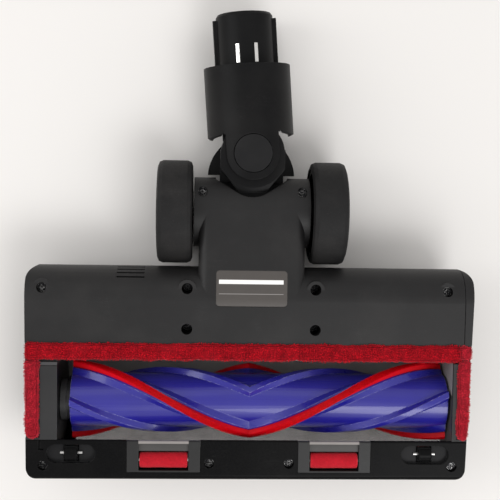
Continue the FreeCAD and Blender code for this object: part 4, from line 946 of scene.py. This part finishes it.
class CARPETBRUSH_OT_mouldings(bpy.types.Operator):
    """Give the shells, covers, front strip, neck, duct and window their finishes"""

    bl_idname = "carpetbrush.mouldings"
    bl_label = "Mouldings"

    def execute(self, context):
        own = context.scene.carpetbrush_mouldings
        # Painted light and shade: the liner's grey is paled 2.4 times on the chamber's rear wall and darkened
        # on its front wall, as lit and shaded copies
        back_wall_painted_light = (walls(CHAMBER_MIDDLE_Y, 0.0), lifted(own.liner, 2.4))
        forward_wall_painted_shade = (walls(CHAMBER_FRONT_Y, CHAMBER_MIDDLE_Y), lifted(own.liner, 0.6))
        seam = (boxed(*COVER_SEAM), SEAM_AND_PAINTED_SHADOW_BLACK)
        ledge = (boxed(*COVER_LEDGE), lifted(own.cover, 2.6))
        # Painted shade: the covers' walls below the sole are painted near-black, where they stand in shade
        below = (boxed(*UNDER_SOLE_PAINTED_SHADE), PAINTED_SHADE_BLACK)
        # Painted light: the glide wheels' hollows are painted a paler black
        pockets = [(glide_hollow_painted_light(wheel), own.glide_hollow_painted_light) for wheel in ("glide_wheel_left", "glide_wheel_right")]
        steps = [(bay(x, *BRACKET_STEP), STEP_GREY) for x in ROLLER_X]
        # Painted highlight: a pale grey band stands in for the light line along each bracket's back edge
        back_highlights = [(bay(x, *BRACKET_EDGE_HIGHLIGHT), BACK_HIGHLIGHT_GREY) for x in ROLLER_X]

        def finish(name, tint, roughness, dust, relief=1.0, handling=1.0, **more):
            return moulded(name, tint, roughness, own.grain * relief, own.wear * handling, dust,
                           radius=own.edge_radius, **more)

        dress(SHELL_NODES, finish("Satin shell", own.shell, 0.46, 0.05,
                                  zones=(back_wall_painted_light, forward_wall_painted_shade, ledge, seam)))
        dress(NECK_NODES, finish("Neck black", own.neck, 0.42, 0.03, specular=0.10))
        dress(PIVOT_NODES, finish("Pivot cap", own.pivot, 0.42, 0.03, specular=0.12))
        dress(GLOSS_NODES, finish("Smooth black", own.gloss, 0.28, 0.02, relief=0.4, scale=1500.0,
                                  specular=0.05, zones=pockets))
        dress(COVER_NODES, finish("Dark grey cover", own.cover, 0.42, 0.03, relief=0.6, handling=0.6,
                                  zones=(below, seam)))
        dress(BRACKET_NODES, finish("Charcoal bracket", own.bracket, 0.40, 0.03, relief=0.6, handling=0.6,
                                    zones=(*steps, *back_highlights)))
        dress(("drive_hub",), finish("Drive hub", own.hub, 0.40, 0.03))
        dress(("air_duct",), moulded("Inner duct", own.duct, 0.5, own.grain, wear=0.1, dust=0.1,
                                     radius=own.edge_radius))
        dress(("brush_window",), window_material(own))
        return {"FINISHED"}


class CARPETBRUSH_OT_wheels(bpy.types.Operator):
    """Give the rear tyres their rubber"""

    bl_idname = "carpetbrush.wheels"
    bl_label = "Tyres"

    def execute(self, context):
        own = context.scene.carpetbrush_mouldings
        dress(TYRE_NODES, moulded("Tyre rubber", own.tyre, 0.62, own.grain * 1.6, own.wear, 0.10,
                                  scale=1100.0, radius=0.0008, specular=0.2))
        return {"FINISHED"}


class CARPETBRUSH_OT_rating_label(bpy.types.Operator):
    """Finish the bare label on the underside"""

    bl_idname = "carpetbrush.rating_label"
    bl_label = "Bare label"

    def execute(self, context):
        dress(("rating_plate",), label_material(context.scene.carpetbrush_mouldings))
        return {"FINISHED"}


class CARPETBRUSH_OT_drive(bpy.types.Operator):
    """Finish the motor, belt, board, bearing, pins and contacts"""

    bl_idname = "carpetbrush.drive"
    bl_label = "Drive and metal parts"

    def execute(self, context):
        dress(STEEL_NODES, metal("Turned steel", (0.62, 0.61, 0.60), 0.3))
        dress(AXLE_NODES, metal("Dark axle", (0.035, 0.034, 0.034), 0.4))
        dress(("contact_springs",), metal("Plated contact", (0.80, 0.79, 0.77), 0.22))
        dress(("end_bearing",), metal("Sintered brass", (0.55, 0.40, 0.18), 0.42))
        dress(("drive_belt",), moulded("Belt rubber", (0.02, 0.02, 0.02), 0.7, 0.4, 0.1, 0.1, scale=1300.0))
        dress(("control_board",), board_material())
        return {"FINISHED"}


class CARPETBRUSH_OT_brush_bar(bpy.types.Operator):
    """Finish the blue bar"""

    bl_idname = "carpetbrush.brush_bar"
    bl_label = "Brush bar"

    def execute(self, context):
        dress(("brush_bar",), bar_material(context.scene.carpetbrush_bar))
        return {"FINISHED"}


class CARPETBRUSH_OT_bristles(bpy.types.Operator):
    """Build the two red filament strips"""

    bl_idname = "carpetbrush.bristles"
    bl_label = "Bristle strips"

    def execute(self, context):
        own = context.scene.carpetbrush_bar
        # The half-bright root colour is painted shade at the filaments' bases
        red = pile_material("Nylon filaments", own.bristle, lifted(own.bristle, 0.5), 0.0, 500.0, 0.62)
        seam = math.radians(STRIP_SEAM_DEG)
        bristle_strip("bristle_row_a", "bristle_strip_a", seam, own, red, 1)
        bristle_strip("bristle_row_b", "bristle_strip_b", seam + math.pi, own, red, 2)
        return {"FINISHED"}


class CARPETBRUSH_OT_plush(bpy.types.Operator):
    """Build the plush seals round the opening"""

    bl_idname = "carpetbrush.plush"
    bl_label = "Plush seals"

    def execute(self, context):
        own = context.scene.carpetbrush_plush
        # Painted light: the side seals get a brighter copy of the rear seal's red, besides their stronger
        # sheen
        flat = pile_material("Red plush", tinted(own.tip, FLAT_PILE), own.root, 0.1, 300.0)
        pile = pile_material("Side plush with painted light", tinted(own.tip, SIDE_PILE_PAINTED_LIGHT), own.root, 0.6, 300.0)
        low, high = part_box("rear_plush")
        low.y += own.draw_in
        plush_pad("rear_pile", [(low, high)], "head", "rear_plush", own, flat, 0)
        low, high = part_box("left_plush")
        high.x -= own.draw_in
        plush_pad("left_pile", [(low, high)], "head", "left_plush", own, pile, 1)
        low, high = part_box("cap_plush")
        square = (Vector((low.x, CAP_SPLIT_Y, low.z)), high)
        long_run = (low, Vector((high.x, CAP_SPLIT_Y - CAP_SPLIT_GAP, high.z)))
        plush_pad("cap_pile", [square, long_run], "right_cap", "cap_plush", own, pile, 7)
        return {"FINISHED"}


class CARPETBRUSH_OT_rollers(bpy.types.Operator):
    """Build the two flocked front rollers"""

    bl_idname = "carpetbrush.rollers"
    bl_label = "Flocked rollers"

    def execute(self, context):
        own = context.scene.carpetbrush_rollers
        # The half-bright root colour is painted shade under the flock
        red = pile_material("Red flock", own.red, lifted(own.red, 0.5), 0.35, 700.0, 0.85)
        flocked_roller("flocked_roller_left", "roller_left", "left_roller", own, red, 1)
        flocked_roller("flocked_roller_right", "roller_right", "right_roller", own, red, 2)
        return {"FINISHED"}


class CARPETBRUSH_OT_screws(bpy.types.Operator):
    """Build the cross-recess screws"""

    bl_idname = "carpetbrush.screws"
    bl_label = "Screws"

    def execute(self, context):
        own = context.scene.carpetbrush_screws
        black = metal("Blackened steel", own.steel, 0.24, 1500.0, 1.0)
        sunken = metal("Sunken steel", own.steel, 0.24, 1500.0, 0.25)
        finishes = {"rear_corner_screws": black, "deep_screws": sunken,
                    "strip_screws": black, "arm_screws": black}
        for name, finish in finishes.items():
            screw_set("cross_" + name, name, screw_places(name), own, finish)
        return {"FINISHED"}


class CARPETBRUSH_OT_stage(bpy.types.Operator):
    """Lay the table, hang the softboxes and set the camera"""

    bl_idname = "carpetbrush.stage"
    bl_label = "Stage"

    def execute(self, context):
        own = context.scene.carpetbrush_stage
        bm = bmesh.new()
        bmesh.ops.create_grid(bm, x_segments=8, y_segments=8, size=3.0)
        mesh = bpy.data.meshes.new("table")
        bm.to_mesh(mesh)
        bm.free()
        mesh.materials.append(table_material(own))
        table = bpy.data.objects.new("table", mesh)
        context.scene.collection.objects.link(table)
        softbox("key_softbox", place=(0.45, -0.72, 1.25), target=(0.0, 0.0, 0.0),
                width=0.9, height=0.6, power=own.key)
        softbox("rear_softbox", place=(-0.25, 0.75, 1.1), target=(0.0, -0.05, 0.02),
                width=1.1, height=0.5, power=own.rear)
        softbox("side_softbox", place=(-1.0, 0.15, 0.75), target=(0.0, 0.0, 0.02),
                width=0.5, height=0.9, power=own.side)

        world = bpy.data.worlds.new("studio")
        world.use_nodes = True
        world.node_tree.nodes["Background"].inputs["Color"].default_value = (1.0, 0.99, 0.98, 1.0)
        world.node_tree.nodes["Background"].inputs["Strength"].default_value = own.world
        context.scene.world = world

        lens = bpy.data.cameras.new("camera")
        lens.lens = 72.0
        lens.sensor_width = 36.0
        lens.clip_start = 0.01
        camera = bpy.data.objects.new("camera", lens)
        turn = Matrix.Identity(3)
        for axis, degrees in CAMERA_TURNS:
            turn = turn @ Matrix.Rotation(math.radians(degrees), 3, axis)
        camera.matrix_world = Matrix.Translation(CAMERA_PLACE) @ turn.transposed().to_4x4()
        context.scene.collection.objects.link(camera)
        context.scene.camera = camera
        context.scene.view_settings.view_transform = "Standard"
        return {"FINISHED"}


class CARPETBRUSH_PT_panel(bpy.types.Panel):
    """Sizes, colours and builders of the carpet brush"""

    bl_label = "Carpet brush"
    bl_space_type = "VIEW_3D"
    bl_region_type = "UI"
    bl_category = "Carpet brush"

    def draw(self, context):
        for name, group_class in SETTINGS.items():
            box = self.layout.box()
            box.label(text=group_class.__doc__)
            for field in group_class.__annotations__:
                box.prop(getattr(context.scene, name), field)
        for operator in OPERATORS:
            self.layout.operator(operator.bl_idname)


SETTINGS = {
    "carpetbrush_mouldings": MouldingSettings,
    "carpetbrush_bar": BarSettings,
    "carpetbrush_plush": PlushSettings,
    "carpetbrush_rollers": RollerSettings,
    "carpetbrush_screws": ScrewSettings,
    "carpetbrush_stage": StageSettings,
}
OPERATORS = (
    CARPETBRUSH_OT_mouldings,
    CARPETBRUSH_OT_wheels,
    CARPETBRUSH_OT_rating_label,
    CARPETBRUSH_OT_drive,
    CARPETBRUSH_OT_brush_bar,
    CARPETBRUSH_OT_bristles,
    CARPETBRUSH_OT_plush,
    CARPETBRUSH_OT_rollers,
    CARPETBRUSH_OT_screws,
    CARPETBRUSH_OT_stage,
)


def register():
    for made in (*SETTINGS.values(), *OPERATORS, CARPETBRUSH_PT_panel):
        bpy.utils.register_class(made)
    for name, group_class in SETTINGS.items():
        setattr(bpy.types.Scene, name, PointerProperty(type=group_class))


def unregister():
    for name in SETTINGS:
        delattr(bpy.types.Scene, name)
    for made in (CARPETBRUSH_PT_panel, *reversed(OPERATORS), *reversed(list(SETTINGS.values()))):
        bpy.utils.unregister_class(made)


def main():
    register()
    builders = bpy.ops.carpetbrush
    builders.mouldings()
    builders.wheels()
    builders.rating_label()
    builders.drive()
    builders.brush_bar()
    builders.bristles()
    builders.plush()
    builders.rollers()
    builders.screws()
    builders.stage()


if __name__ == "__main__":
    main()
